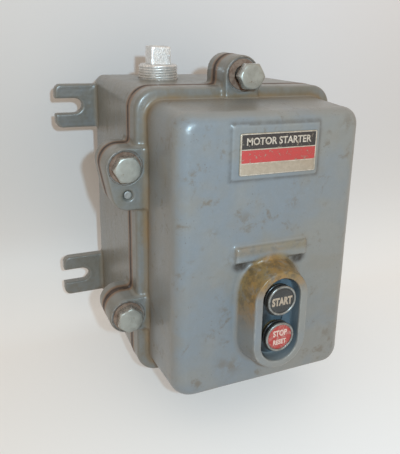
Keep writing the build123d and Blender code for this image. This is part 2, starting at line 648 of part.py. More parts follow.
def button_bushings():
    """Long guide bushings: they are the flame path round each stem and clamp the plate."""
    shapes = []
    end, seat = COVER_ROOF - 1.0, RECESS_FLOOR + BUTTON_PLATE_THICK
    for z in (START_Z, STOP_Z):
        body = rod(0, z, BUSH_R - 0.05, end, seat) + rod(0, z, NUT_R, seat, seat + NUT_THICK)
        shapes.append(body - rod(0, z, BUSH_BORE, end, seat + NUT_THICK))
    return shapes


def button_cap(z):
    cup = rod(0, z, CAP_R, CAP_BACK, CAP_FRONT) - rod(0, z, CAP_POCKET_R, CAP_BACK, CAP_POCKET_FRONT)
    return cup - rod(0, z, STEM_R, CAP_POCKET_FRONT, CAP_FRONT)


def button_bezel(z):
    ring = rod(0, z, BEZEL_R, CAP_FRONT, BUTTON_FRONT)
    ring = fillet(front_edges(ring), 0.8)
    return ring - rod(0, z, LEGEND_R, CAP_FRONT, BUTTON_FRONT)


def button_legend(z):
    return rod(0, z, LEGEND_R - 0.05, CAP_FRONT, BUTTON_FRONT - 0.5)


def button_stem(z, end):
    return rod(0, z, STEM_R, end, CAP_FRONT)


def button_clip(z):
    return rod(0, z, CLIP_R, *CLIP) - rod(0, z, STEM_R, *CLIP)


def button_bridge(z, depth):
    bar = block(around(0, 12.5), depth, around(z, TAB_HALF)) + rod(0, z, 6.0, *depth)
    return bar - rod(0, z, STEM_R, *depth)


def button_spring(z):
    back = RECESS_FLOOR + BUTTON_PLATE_THICK + NUT_THICK + 0.1
    return coil_spring(0, z, 6.2, back, CAP_POCKET_FRONT - 0.1, 3)


def nameplate():
    wide, tall, thick = PLATE
    depth = (PAD_DEPTH, PAD_DEPTH + thick)
    plate = block(around(PLATE_X, wide / 2), depth, around(PLATE_Z, tall / 2))
    return fillet(plate.edges().filter_by(Axis.Y), 1.5)


def arc_cover_screws():
    end = CONTACTOR_FRONT - 10.0
    return [screw(side * POST_X, CONTACTOR_Z, ARC_FRONT, end, 3.3, 2.4, 1.7) for side in (-1, 1)]


def coil_terminal_screws():
    seat, end = CONTACTOR_FRONT + THIN_STRIP, CONTACTOR_FRONT - 8.0
    return [screw(side * COIL_TAB_X, COIL_TAB_Z, seat, end, 2.8, 2.0, 1.5) for side in (-1, 1)]


def screws(places, seat, end):
    return [screw(x, z, seat, end) for x, z in places]


def nodes():
    """Every node of the assembly, by name."""
    made = {
        "rear_housing": rear_housing(),
        "dowel_pins": dowel_pins(),
        "conduit_plug": conduit_plug(),
        "mounting_panel": mounting_panel(),
        "panel_screws": screws(panel_screw_places(), PANEL_FRONT, 6.0),
        "ground_screw": screw(*GROUND_PLACE, BACK_WALL, 5.0),
        "contactor_base": contactor_base(),
        "contactor_screws": screws(contactor_screw_places(), PANEL_FRONT + FOOT[1], PANEL_BACK - 2.0),
        "magnet_core": e_core(CORE_BACK, CORE_FACE, CORE_YOKE),
        "coil_bobbin": coil_bobbin(),
        "coil_winding": coil_winding(),
        "coil_terminals": coil_terminals(),
        "coil_terminal_screws": coil_terminal_screws(),
        "line_contacts": pole_strips(1),
        "load_contacts": pole_strips(-1),
        "terminal_screws": terminal_screws(),
        "arc_cover": arc_cover(),
        "arc_cover_screws": arc_cover_screws(),
        "return_springs": return_springs(),
        "link_straps": link_straps(),
        "overload_base": overload_base(),
        "overload_screws": screws(overload_screw_places(), OVERLOAD_FRONT, PANEL_BACK - 2.0),
        "heater_elements": heater_elements(),
        "heater_screws": heater_screws(),
        "overload_terminals": overload_terminals(),
        "overload_terminal_screws": overload_terminal_screws(),
        "trip_housing": trip_housing(),
        "reset_spring": reset_spring(),
        "reset_plunger": reset_plunger(),
        "armature": armature(),
        "armature_rivets": armature_rivets(),
        "contact_carrier": contact_carrier(),
        "moving_contacts": moving_contacts(),
        "contact_springs": contact_springs(),
        "cover_shell": cover_shell(),
        "cover_bolts": cover_bolts(),
        "bolt_washers": bolt_washers(),
        "nameplate": nameplate(),
        "button_plate": button_plate(),
        "button_bushings": button_bushings(),
        "station_base": station_base(),
        "station_screws": station_screws(),
        "station_contacts": station_contacts(),
        "station_terminal_screws": station_terminal_screws(),
    }
    buttons = (
        ("start", START_Z, START_STEM_END, START_BRIDGE),
        ("stop", STOP_Z, STOP_STEM_END, STOP_BRIDGE),
    )
    for name, z, stem_end, bridge_depth in buttons:
        made[name + "_cap"] = button_cap(z)
        made[name + "_bezel"] = button_bezel(z)
        made[name + "_legend"] = button_legend(z)
        made[name + "_stem"] = button_stem(z, stem_end)
        made[name + "_clip"] = button_clip(z)
        made[name + "_bridge"] = button_bridge(z, bridge_depth)
        made[name + "_spring"] = button_spring(z)
    return made


def main():
    os.makedirs("parts", exist_ok=True)
    for name, shape in nodes().items():
        solids = shape if isinstance(shape, list) else [shape]
        export_step(Compound(label=name, children=solids), f"parts/{name}.step")


main()
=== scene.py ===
import math

import bmesh
import bpy
import numpy as np
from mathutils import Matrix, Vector
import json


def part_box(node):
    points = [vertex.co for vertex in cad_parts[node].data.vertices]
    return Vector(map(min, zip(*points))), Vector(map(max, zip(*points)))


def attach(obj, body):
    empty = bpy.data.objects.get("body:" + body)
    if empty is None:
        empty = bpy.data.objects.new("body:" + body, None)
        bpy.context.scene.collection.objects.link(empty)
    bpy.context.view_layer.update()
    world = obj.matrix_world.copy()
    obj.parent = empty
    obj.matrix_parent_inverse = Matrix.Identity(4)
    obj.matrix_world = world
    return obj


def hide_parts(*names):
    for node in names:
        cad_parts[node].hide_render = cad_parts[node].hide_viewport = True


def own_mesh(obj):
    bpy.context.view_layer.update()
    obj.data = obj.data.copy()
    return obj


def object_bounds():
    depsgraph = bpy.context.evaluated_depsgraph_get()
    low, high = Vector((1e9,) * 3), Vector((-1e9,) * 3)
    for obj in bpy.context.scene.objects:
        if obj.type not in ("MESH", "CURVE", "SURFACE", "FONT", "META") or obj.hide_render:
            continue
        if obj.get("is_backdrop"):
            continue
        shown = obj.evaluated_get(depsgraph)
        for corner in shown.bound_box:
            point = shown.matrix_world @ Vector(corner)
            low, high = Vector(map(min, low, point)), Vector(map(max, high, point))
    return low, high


# Magnetic motor starter in a bolted cast enclosure. Metres, in the CAD frame: +X right,
# +Y into the wall, +Z up, so the front faces -Y and a depth d lies at y = -d.
# The mesh builders and the dimensions are in millimetres; rings_mesh scales to metres.

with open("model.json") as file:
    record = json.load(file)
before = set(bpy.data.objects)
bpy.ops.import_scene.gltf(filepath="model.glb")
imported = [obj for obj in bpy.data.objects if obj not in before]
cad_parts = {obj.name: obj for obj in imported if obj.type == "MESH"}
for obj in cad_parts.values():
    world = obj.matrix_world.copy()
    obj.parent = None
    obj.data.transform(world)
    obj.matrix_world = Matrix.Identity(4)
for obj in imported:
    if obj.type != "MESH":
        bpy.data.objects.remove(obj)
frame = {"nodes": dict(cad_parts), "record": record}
cad_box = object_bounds()
MM = 0.001


# ---------------------------------------------------------------- shader helpers


class Graph:
    """A Principled material that is built node by node."""

    def __init__(self, name):
        self.material = bpy.data.materials.new(name)
        self.material.use_nodes = True
        self.tree = self.material.node_tree
        self.bsdf = self.tree.nodes["Principled BSDF"]
        self.places = self.node("TexCoord").outputs
        self.coords = self.places["Object"]

    def set(self, **sockets):
        """Constants on the shader's own sockets; underscores stand for spaces."""
        for key, value in sockets.items():
            self.bsdf.inputs[key.replace("_", " ")].default_value = value

    def feed(self, socket, value):
        """Links a socket, or sets it if value is a number or a colour."""
        if isinstance(value, bpy.types.NodeSocket):
            self.tree.links.new(value, socket)
        elif isinstance(value, tuple) and len(value) == 3 and socket.type == "RGBA":
            socket.default_value = (*value, 1.0)
        else:
            socket.default_value = value

    def node(self, kind, *ordered, **named):
        """A new node with inputs fed in order or by name; underscores stand for spaces."""
        made = self.tree.nodes.new("ShaderNode" + kind)
        for socket, value in zip(made.inputs, ordered):
            self.feed(socket, value)
        for key, value in named.items():
            self.feed(made.inputs[key.replace("_", " ")], value)
        return made

    def noise(self, size_mm, detail=3.0, rough=0.55, warp=0.0, stretch=None, shift=0.0):
        """Noise from 0 to 1 whose largest features are about size_mm across."""
        vector = self.coords
        if stretch:
            vector = self.node("Mapping", Vector=vector, Scale=stretch).outputs["Vector"]
        if shift:
            offset = (shift, shift * 0.7, -shift * 0.4)
            vector = self.node("VectorMath", vector, offset).outputs["Vector"]
        return self.node("TexNoise", Vector=vector, Scale=1000.0 / size_mm, Detail=detail,
                         Roughness=rough, Distortion=warp).outputs["Fac"]

    def cells(self, size_mm):
        """Distance from the nearest of many scattered points."""
        return self.node("TexVoronoi", Vector=self.coords, Scale=1000.0 / size_mm).outputs["Distance"]

    def attribute(self, name):
        made = self.node("Attribute")
        made.attribute_name = name
        return made.outputs["Fac"]

    def axis(self, letter, kind="Object"):
        """Object coordinate along one axis, in metres."""
        return self.node("SeparateXYZ", self.places[kind]).outputs[letter]

    def facing(self, letter):
        """Surface normal along one axis, in the object's own frame."""
        return self.axis(letter, "Normal")

    def math(self, operation, a, b=0.0):
        made = self.node("Math", a, b)
        made.operation = operation
        return made.outputs[0]

    def chain(self, operation, values):
        total = values[0]
        for value in values[1:]:
            total = self.math(operation, total, value)
        return total

    def times(self, *values):
        return self.chain("MULTIPLY", values)

    def plus(self, *values):
        return self.chain("ADD", values)

    def most(self, *values):
        return self.chain("MAXIMUM", values)

    def span(self, value, low, high, out_low=0.0, out_high=1.0, kind="SMOOTHSTEP"):
        """Goes from out_low to out_high as value goes from low to high, and stops there."""
        made = self.node("MapRange", Value=value, From_Min=low, From_Max=high,
                         To_Min=out_low, To_Max=out_high)
        made.interpolation_type = kind
        return made.outputs["Result"]

    def mix(self, share, a, b, blend="MIX"):
        made = self.node("Mix", share)
        made.data_type, made.blend_type = "RGBA", blend
        self.feed(made.inputs[6], a)
        self.feed(made.inputs[7], b)
        return made.outputs[2]

    def bump(self, height, distance_mm, strength, after=None):
        made = self.node("Bump", Height=height, Distance=distance_mm * MM, Strength=strength)
        if after:
            self.feed(made.inputs["Normal"], after)
        return made.outputs["Normal"]

    def finish(self, colour, roughness, metallic=None, normal=None):
        for key, value in (("Base Color", colour), ("Roughness", roughness),
                           ("Metallic", metallic), ("Normal", normal)):
            if value is not None:
                self.feed(self.bsdf.inputs[key], value)
        return self.material


# ---------------------------------------------------------------- mesh helpers


def read_mesh(mesh):
    """Vertex positions of a mesh, one row each."""
    points = np.zeros(len(mesh.vertices) * 3)
    mesh.vertices.foreach_get("co", points)
    return points.reshape(-1, 3)


def write_points(mesh, points):
    mesh.vertices.foreach_set("co", np.ascontiguousarray(points, dtype=np.float32).ravel())
    mesh.update()


def mesh_normals(mesh):
    mesh.update()
    normals = np.zeros(len(mesh.vertices) * 3)
    mesh.vertices.foreach_get("normal", normals)
    return normals.reshape(-1, 3)


class Neighbours:
    """Averages positions over each vertex's neighbours."""

    def __init__(self, mesh):
        ends = np.zeros(len(mesh.edges) * 2, dtype=np.int64)
        mesh.edges.foreach_get("vertices", ends)
        self.size = len(mesh.vertices)
        self.source = np.concatenate([ends[0::2], ends[1::2]])
        self.target = np.concatenate([ends[1::2], ends[0::2]])
        self.count = np.maximum(np.bincount(self.target, minlength=self.size), 1)

    def mean(self, values):
        sums = [np.bincount(self.target, column[self.source], self.size) for column in values.T]
        return np.stack(sums, axis=1) / self.count[:, None]

    def smoothed(self, values, rounds):
        for _ in range(rounds):
            values = values + (self.mean(values) - values) * 0.8
        return values


def lattice_noise(points, cell, seed):
    """Smooth random field from -1 to 1 with features about one cell across."""
    rng = np.random.RandomState(seed)
    table = rng.uniform(-1, 1, (32, 32, 32))
    place = points / cell + 64.0
    low = np.floor(place).astype(int)
    part = place - low
    part = part * part * (3 - 2 * part)
    total = np.zeros(len(points))
    for dx in (0, 1):
        for dy in (0, 1):
            for dz in (0, 1):
                corner = np.array((dx, dy, dz))
                weight = np.prod(np.abs(1 - corner - part), axis=1)
                total += weight * table[tuple(((low + corner) % 32).T)]
    return total


def smooth_shade(mesh, angle=None):
    """Smooth faces; edges where they meet at more than the angle, in degrees, stay sharp."""
    mesh.polygons.foreach_set("use_smooth", np.ones(len(mesh.polygons), dtype=bool))
    if angle is not None:
        mesh.set_sharp_from_angle(angle=math.radians(angle))


def object_from(name, mesh):
    made = bpy.data.objects.new(name, mesh)
    bpy.context.scene.collection.objects.link(made)
    return made


def baked(source, name):
    """Applies an object's modifiers and returns the result as a new mesh."""
    graph = bpy.context.evaluated_depsgraph_get()
    mesh = bpy.data.meshes.new_from_object(source.evaluated_get(graph))
    mesh.name = name
    bpy.data.objects.remove(source)
    return mesh


def piece(name, mesh, body, slot, replaces=(), look=None):
    """A finished piece that rides on a body and stands for some CAD nodes."""
    mesh.materials.clear()
    mesh.materials.append(look or LOOKS[slot])
    made = object_from(name, mesh)
    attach(made, body)
    if replaces:
        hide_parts(*replaces)
    return made


# ---------------------------------------------------------------- dimensions from the CAD, in mm
JOINT = -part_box("cover_shell")[1].y / MM
HOOD_Z, HOOD_HALF, RECESS_HALF = -44.2, (27.0, 45.5), (15.8, 34.2)
PAN_HALF, PAN_CORNER, FLANGE_FRONT = (78.0, 111.5), 13.0, 152.5
PAD_Z, PAD_HALF = 82.0, (36.5, 20.5)
EAR_FRONT, SPOTFACE_R, EAR_R = 155.5, 13.4, 15.0
START_Z, STOP_Z, CARRIER_Z = -27.6, -58.1, 44.0
EARS = [(side * 95.0, up * 62.0) for side in (-1, 1) for up in (-1, 1)]
EARS += [(0.0, 130.0), (0.0, -130.0)]
TOP_EAR = EARS[4]
FULL_TURN = 2 * math.pi


# ---------------------------------------------------------------- mesh builders


def rings_mesh(name, rings, closed=False):
    """Skin through rings of equal length; closed joins the ends, which are capped otherwise."""
    count = len(rings[0])
    faces = []
    for i in range(len(rings) if closed else len(rings) - 1):
        a, b = i * count, ((i + 1) % len(rings)) * count
        for j in range(count):
            k = (j + 1) % count
            faces.append((a + j, a + k, b + k, b + j))
    if not closed:
        faces.append(tuple(reversed(range(count))))
        faces.append(tuple(range((len(rings) - 1) * count, len(rings) * count)))
    mesh = bpy.data.meshes.new(name)
    mesh.from_pydata([tuple(c * MM for c in point) for ring in rings for point in ring], [], faces)
    mesh.validate()
    return mesh


def lathe(name, x, z, profile, steps, closed=False):
    """Turns (radius, depth) points about an axis along Y."""
    turns = [FULL_TURN * i / steps for i in range(steps)]
    rings = [[(x + r * math.cos(a), -d, z + r * math.sin(a)) for a in turns] for r, d in profile]
    return rings_mesh(name, rings, closed)


def merged(name, meshes):
    """Several meshes as one, with outward normals."""
    form = bmesh.new()
    for mesh in meshes:
        form.from_mesh(mesh)
        bpy.data.meshes.remove(mesh)
    bmesh.ops.recalc_face_normals(form, faces=form.faces)
    result = bpy.data.meshes.new(name)
    form.to_mesh(result)
    form.free()
    return result


def add_bevel(holder, width_mm, segments, angle):
    edge = holder.modifiers.new("edges", "BEVEL")
    edge.width = width_mm * MM
    edge.segments = segments
    edge.limit_method = "ANGLE"
    edge.angle_limit = math.radians(angle)


def bevelled(mesh, width_mm, segments, angle):
    """Small rounded edges, applied."""
    holder = object_from(mesh.name + "_bevel", mesh)
    add_bevel(holder, width_mm, segments, angle)
    return baked(holder, mesh.name)


def roughened(mesh, cell_mm, amount_mm, seed):
    """Pushes a fine mesh in along its normals by a random field."""
    points = read_mesh(mesh)
    push = (lattice_noise(points, cell_mm * MM, seed) - 1.0) * 0.5 * amount_mm * MM
    write_points(mesh, points + mesh_normals(mesh) * push[:, None])
    return mesh


def thread_rings(x, z, radius, pitch, groove, back, front, steps=48, per_turn=8):
    """Rings of a single-start thread about an axis along Y, between two depths."""
    count = int(round((front - back) / pitch * per_turn))
    rings = []
    for i in range(count + 1):
        depth = back + (front - back) * i / count
        ring = []
        for j in range(steps):
            turn = j / steps
            phase = ((depth - back) / pitch - turn) % 1.0
            r = radius - groove * (1 - min(1.0, 1.6 * abs(2 * phase - 1)))
            angle = FULL_TURN * turn
            ring.append((x + r * math.cos(angle), -depth, z + r * math.sin(angle)))
        rings.append(ring)
    return rings


# ---------------------------------------------------------------- materials


def enamel_material():
    """Grey-blue enamel on cast iron: orange peel, grime in corners, rust at the joint; painted shade under the
    ledge, round the nameplate pad, in the recess and on the left walls, and painted top light.
    """
    g = Graph("enclosure_paint")
    hollow, edge, seam, root, bare, stain, clean, side, painted_shade, dull, smear = (
        g.attribute(name) for name in ("hollow", "edge", "seam", "root", "bare", "stain", "clean",
                                       "side", "painted_shade", "dull", "smear"))
    upright = (1.0, 1.0, 0.4)
    broad = g.noise(70, 3.0, 0.6)
    cloud = g.noise(34, 3.0, 0.6, 0.4, shift=9.1)
    wash = g.noise(30, 3.0, 0.55, 0.3, stretch=upright, shift=8.8)
    streak = g.noise(16, 3.0, 0.6, 0.3, stretch=upright, shift=7.7)
    blotch = g.noise(15, 4.0, 0.65, 0.5, shift=3.1)
    brass = g.noise(10, 4.0, 0.7, 0.8, shift=6.0)
    medium = g.noise(6.0, 4.0, 0.65, 0.3, shift=1.7)
    fine = g.noise(1.6, 4.0, 0.65)
    cool = g.plus(g.span(broad, 0.30, 0.70), g.span(g.axis("X"), 55 * MM, -60 * MM, -0.35, 0.35))
    colour = g.mix(g.span(cool, 0.1, 0.9), (0.184, 0.190, 0.181), (0.150, 0.179, 0.203))

    def coat(tint, *shares):
        """Lays a tint over what is there; its share is the product of the shares."""
        nonlocal colour
        colour = g.mix(g.times(*shares), colour, tint)

    coat((0.178, 0.160, 0.125), g.span(cloud, 0.48, 0.72), 0.35)
    coat((0.145, 0.155, 0.148), g.span(medium, 0.35, 0.7), 0.20)
    coat((0.27, 0.28, 0.27), g.span(fine, 0.5, 0.8), 0.16)
    # Brown film on left-facing walls and, faintly, on tops: painted shade on the left walls.
    film = g.times(side, g.span(wash, 0.30, 0.65, 0.40, 1.0))
    coat((0.145, 0.130, 0.095), film, 0.42)
    grime = g.times(g.span(blotch, 0.56, 0.70), g.span(medium, 0.38, 0.62))
    grime = g.most(grime, g.times(smear, 0.75, g.span(medium, 0.40, 0.58)))
    coat((0.110, 0.085, 0.055), grime, 0.62)
    corner = g.times(g.span(hollow, 0.10, 0.65), g.span(streak, 0.22, 0.70, 0.55, 1.0))
    coat((0.125, 0.092, 0.050), corner, 0.80)
    coat((0.105, 0.140, 0.165), clean)
    coat((0.36, 0.37, 0.35), g.span(edge, 0.30, 0.95), g.span(medium, 0.40, 0.66), 0.34)
    coat((0.112, 0.104, 0.079), dull, g.span(streak, 0.2, 0.7, 0.55, 1.0),
         g.span(medium, 0.3, 0.7, 0.7, 1.0))
    browns = g.mix(g.span(cloud, 0.35, 0.65), (0.165, 0.104, 0.044), (0.120, 0.088, 0.050))
    coat(browns, root, g.span(streak, 0.22, 0.60, 0.45, 1.0),
         g.span(medium, 0.25, 0.6, 0.7, 1.0), 0.88)
    # Lighter grey on upward faces: painted top light, laid as pale dust.
    coat((0.265, 0.262, 0.245), g.span(g.facing("Z"), 0.45, 0.95),
         g.span(cloud, 0.25, 0.7, 0.6, 1.0), 0.45)
    tint = g.mix(g.span(cloud, 0.35, 0.62), (0.225, 0.118, 0.018), (0.160, 0.118, 0.045))
    tint = g.mix(g.times(g.span(medium, 0.44, 0.66), 0.75), tint, (0.066, 0.046, 0.018))
    coat(tint, stain, g.span(brass, 0.28, 0.50, 0.50, 1.0), 0.92)
    rust = g.times(seam, g.span(streak, 0.25, 0.60, 0.50, 1.0))
    coat((0.178, 0.104, 0.055), g.span(rust, 0.0, 0.45), 0.88)
    coat((0.062, 0.032, 0.020), g.span(rust, 0.55, 0.90), 0.85)
    coat((0.030, 0.018, 0.012), g.span(seam, 0.72, 0.97), g.span(medium, 0.30, 0.62, 0.45, 0.95))
    coat(g.mix(g.span(medium, 0.35, 0.68), (0.190, 0.150, 0.118), (0.105, 0.070, 0.050)), bare)
    # Painted shade: near black under the ledge's ends, round the pad's foot and on the recess's left side.
    coat((0.030, 0.024, 0.018), painted_shade, g.span(medium, 0.25, 0.6, 0.55, 1.0))
    pits = g.times(g.span(g.cells(3.1), 0.17, 0.07), g.span(g.noise(21, 2.0, shift=5.0), 0.53, 0.66))
    coat((0.065, 0.045, 0.032), pits, 0.55)
    rough = g.plus(g.span(fine, 0.2, 0.8, 0.28, 0.42), g.times(corner, 0.22), g.times(grime, 0.15),
                   g.times(rust, 0.30), g.times(bare, 0.25), g.times(film, 0.06), g.times(painted_shade, 0.4))
    fronted = g.span(g.math("ABSOLUTE", g.facing("Y")), 0.35, 0.90, 0.15, 1.0)
    normal = g.bump(g.times(g.noise(9.0, 2.0, 0.5, shift=2.0), fronted), 0.70, 0.5)
    normal = g.bump(g.times(g.noise(3.2, 2.0, 0.5, shift=4.0), fronted), 0.20, 0.55, normal)
    normal = g.bump(g.math("SUBTRACT", fine, g.times(pits, 1.5)), 0.04, 0.6, normal)
    g.set(Specular_IOR_Level=0.5, Coat_Weight=0.22, Coat_Roughness=0.24)
    return g.finish(colour, rough, None, normal)


def metal_material(name, light, dark, rust, rust_share, rough, metallic=0.9, grain_mm=2.5, bump_mm=0.05):
    """Dull metal with mottled tone, tarnish and a share of rust specks."""
    g = Graph(name)
    mottle, fine = g.noise(grain_mm * 3, 4.0, 0.6, 0.4), g.noise(grain_mm * 0.5, 3.0, 0.6, shift=2.2)
    colour = g.mix(g.span(mottle, 0.32, 0.68), light, dark)
    spots = g.times(g.span(g.noise(grain_mm * 1.6, 4.0, 0.7, shift=5.5), 0.72 - rust_share, 0.80 - rust_share),
                    g.span(fine, 0.25, 0.6))
    colour = g.mix(spots, colour, rust)
    surface = g.plus(g.span(fine, 0.2, 0.8, rough - 0.07, rough + 0.09), g.times(spots, 0.3))
    shine = g.math("SUBTRACT", metallic, g.times(spots, metallic * 0.8))
    normal = g.bump(g.plus(fine, g.times(spots, 0.6)), bump_mm, 0.8)
    return g.finish(colour, surface, shine, normal)


def bolt_material():
    """Dull plated steel with greenish faces; the flats are painted lighter as a reflection, and are smoother
    and more metallic.
    """
    g = Graph("bolt_steel")
    mottle, fine = g.noise(7.5, 4.0, 0.6, 0.4), g.noise(1.2, 3.0, 0.6, shift=2.2)
    turned = g.math("ABSOLUTE", g.facing("Y"))
    flat_sheen = g.span(turned, 0.55, 0.25)
    colour = g.mix(g.span(mottle, 0.32, 0.68), (0.345, 0.355, 0.325), (0.265, 0.27, 0.245))
    # Lighter colour on the flats: painted reflection.
    colour = g.mix(g.times(flat_sheen, g.span(mottle, 0.25, 0.6, 0.3, 1.0)), colour, (0.66, 0.66, 0.63))
    spots = g.times(g.span(g.noise(4.0, 4.0, 0.7, shift=5.5), 0.62, 0.72), g.span(fine, 0.25, 0.6))
    colour = g.mix(g.times(spots, 0.7), colour, (0.17, 0.11, 0.06))
    rough = g.plus(g.span(fine, 0.2, 0.8, 0.34, 0.48), g.times(flat_sheen, -0.12), g.times(spots, 0.2))
    return g.finish(colour, rough, g.plus(0.68, g.times(flat_sheen, 0.22)), g.bump(g.plus(fine, mottle), 0.06, 0.8))


def rust_material():
    g = Graph("rusty_washer")
    patch, fine = g.noise(5, 4.0, 0.65, 0.6), g.noise(1.1, 4.0, 0.7)
    colour = g.mix(g.span(patch, 0.35, 0.65), (0.205, 0.150, 0.115), (0.130, 0.080, 0.055))
    colour = g.mix(g.times(g.span(fine, 0.5, 0.8), 0.5), colour, (0.30, 0.22, 0.16))
    normal = g.bump(g.plus(fine, patch), 0.22, 0.8)
    g.set(Metallic=0.15)
    return g.finish(colour, g.span(fine, 0.2, 0.8, 0.62, 0.9), None, normal)


def zinc_material():
    """Bright zinc on the pipe plug: small spangles, brown film low on the thread."""
    g = Graph("plug_zinc")
    height = g.axis("Z")
    spangle = g.cells(1.3)
    fine = g.noise(1.2, 3.0, 0.6)
    colour = g.mix(g.span(spangle, 0.1, 0.7), (0.86, 0.86, 0.85), (0.60, 0.605, 0.60))
    film = g.times(g.span(height, 133.0 * MM, 121.0 * MM), g.span(g.noise(7, 3.0, 0.6), 0.25, 0.6, 0.35, 1.0))
    colour = g.mix(g.times(film, 0.62), colour, (0.30, 0.24, 0.17))
    rough = g.plus(g.span(spangle, 0.0, 0.8, 0.26, 0.42), g.times(film, 0.2))
    normal = g.bump(g.plus(spangle, fine), 0.15, 0.7)
    return g.finish(colour, rough, g.span(film, 0.0, 1.0, 0.70, 0.4), normal)


def moulding_material(name, light, dark, rough, flake=None):
    """Pressed phenolic or plastic: faint flow marks, dust in the grain."""
    g = Graph(name)
    flow = g.noise(14, 4.0, 0.6, 1.2)
    fine = g.noise(0.9, 3.0, 0.6)
    colour = g.mix(g.span(flow, 0.35, 0.7), light, dark)
    if flake:
        colour = g.mix(g.times(g.span(fine, 0.62, 0.78), 0.5), colour, flake)
    dust = g.span(g.noise(24, 4.0, 0.6, shift=4.4), 0.48, 0.72)
    colour = g.mix(g.times(dust, 0.16), colour, (0.22, 0.19, 0.15))
    normal = g.bump(g.plus(fine, flow), 0.05, 0.6)
    surface = g.plus(g.span(fine, 0.2, 0.8, rough - 0.05, rough + 0.08), g.times(dust, 0.15))
    return g.finish(colour, surface, None, normal)


def striped_material(name, tones, axis, pitch_mm, rough, metallic, depth_mm):
    """Layers across one axis: laminations, or turns of tape."""
    g = Graph(name)
    wave = g.math("SINE", g.times(g.axis(axis), 2 * math.pi / (pitch_mm * MM)))
    mottle = g.noise(5, 4.0, 0.6)
    colour = g.mix(g.span(wave, -0.6, 0.9), tones[1], tones[0])
    colour = g.mix(g.times(g.span(mottle, 0.45, 0.7), 0.6), colour, tones[2])
    normal = g.bump(wave, depth_mm, 0.7)
    normal = g.bump(mottle, 0.05, 0.5, normal)
    g.set(Metallic=metallic)
    return g.finish(colour, g.span(mottle, 0.3, 0.7, rough - 0.08, rough + 0.1), None, normal)


def button_plate_material():
    """Blue-grey enamel in the recess, blackened along its left side by painted shade."""
    g = Graph("button_plate_paint")
    mottle, fine = g.noise(9, 4.0, 0.6, 0.3), g.noise(1.3, 3.0, 0.6)
    colour = g.mix(g.span(mottle, 0.35, 0.68), (0.092, 0.134, 0.165), (0.062, 0.092, 0.114))
    # Near black towards the left: painted shade.
    recess_left_shade = g.times(g.span(g.axis("X"), 2 * MM, -9 * MM), g.span(mottle, 0.2, 0.6, 0.6, 1.0))
    colour = g.mix(g.times(recess_left_shade, 0.92), colour, (0.018, 0.017, 0.015))
    rough = g.plus(g.span(fine, 0.2, 0.8, 0.34, 0.46), g.times(recess_left_shade, 0.1))
    return g.finish(colour, rough, None, g.bump(g.plus(fine, mottle), 0.08, 0.7))


def enamel_disc_material(name, tone, worn_tone, wear):
    """Enamelled button face with rubbed patches."""
    g = Graph(name)
    rub = g.noise(4.2, 4.0, 0.7, 0.5)
    fine = g.noise(0.7, 3.0, 0.6)
    share = g.times(g.span(rub, 0.60 - wear, 0.78 - wear * 0.6), g.span(fine, 0.25, 0.55))
    colour = g.mix(share, tone, worn_tone)
    surface = g.plus(g.span(fine, 0.2, 0.8, 0.25, 0.36), g.times(share, 0.25))
    return g.finish(colour, surface, None, g.bump(g.math("SUBTRACT", fine, share), 0.05, 0.7))

# Each metal's light, dark and rust colours, share of rust, roughness, metallic, grain and bump in mm.
METALS = {
    "worn_rim": ((0.26, 0.255, 0.24), (0.17, 0.15, 0.13), (0.11, 0.075, 0.05), 0.16, 0.45, 0.35, 1.6),
    "dowel_steel": ((0.31, 0.32, 0.31), (0.22, 0.22, 0.215), (0.14, 0.09, 0.06), 0.08, 0.45, 0.6, 1.5),
    "bushing_bronze": ((0.50, 0.36, 0.17), (0.34, 0.24, 0.12), (0.12, 0.10, 0.06), 0.08, 0.38),
    "bezel_nickel": ((0.30, 0.31, 0.30), (0.18, 0.18, 0.17), (0.14, 0.12, 0.09), 0.10, 0.32, 0.75, 1.2, 0.03),
    "stem_steel": ((0.62, 0.62, 0.61), (0.50, 0.50, 0.49), (0.25, 0.18, 0.11), 0.02, 0.26),
    "spring_steel": ((0.50, 0.50, 0.49), (0.36, 0.36, 0.36), (0.22, 0.15, 0.09), 0.04, 0.32),
    "contact_copper": ((0.62, 0.36, 0.20), (0.46, 0.25, 0.14), (0.16, 0.10, 0.07), 0.07, 0.34),
    "panel_zinc": ((0.56, 0.56, 0.52), (0.44, 0.44, 0.40), (0.28, 0.20, 0.11), 0.02, 0.36, 0.9, 6.0),
    "screw_steel": ((0.58, 0.58, 0.55), (0.44, 0.44, 0.42), (0.22, 0.16, 0.10), 0.05, 0.33),
    "terminal_brass": ((0.66, 0.48, 0.22), (0.48, 0.34, 0.15), (0.16, 0.11, 0.06), 0.06, 0.30),
    "ground_green": ((0.05, 0.26, 0.10), (0.035, 0.18, 0.07), (0.20, 0.16, 0.09), 0.06, 0.38, 0.3),
    "heater_alloy": ((0.48, 0.44, 0.38), (0.33, 0.29, 0.25), (0.15, 0.11, 0.08), 0.08, 0.38),
    "plate_relief": ((0.66, 0.63, 0.57), (0.45, 0.42, 0.36), (0.16, 0.13, 0.09), 0.06, 0.32, 0.7, 1.0, 0.02),
}
# Each moulding's light and dark colours, roughness and flake colour.
MOULDINGS = {
    "cap_plastic": ((0.012, 0.012, 0.012), (0.022, 0.021, 0.020), 0.33),
    "phenolic": ((0.020, 0.018, 0.017), (0.036, 0.031, 0.028), 0.38),
    "arc_cover_phenolic": ((0.095, 0.036, 0.022), (0.060, 0.024, 0.016), 0.36, (0.16, 0.08, 0.05)),
    "bobbin_nylon": ((0.52, 0.45, 0.30), (0.42, 0.35, 0.22), 0.45),
    "reset_red": ((0.42, 0.035, 0.025), (0.32, 0.028, 0.020), 0.34),
}
# Each stripe's two tones and stain, axis, pitch in mm, roughness, metallic and depth in mm.
STRIPES = {
    "core_steel": (((0.30, 0.30, 0.30), (0.12, 0.11, 0.10), (0.17, 0.12, 0.09)), "Z", 0.75, 0.45, 0.75, 0.05),
    "coil_tape": (((0.34, 0.19, 0.06), (0.20, 0.11, 0.035), (0.12, 0.07, 0.03)), "Y", 4.6, 0.5, 0.0, 0.12),
}
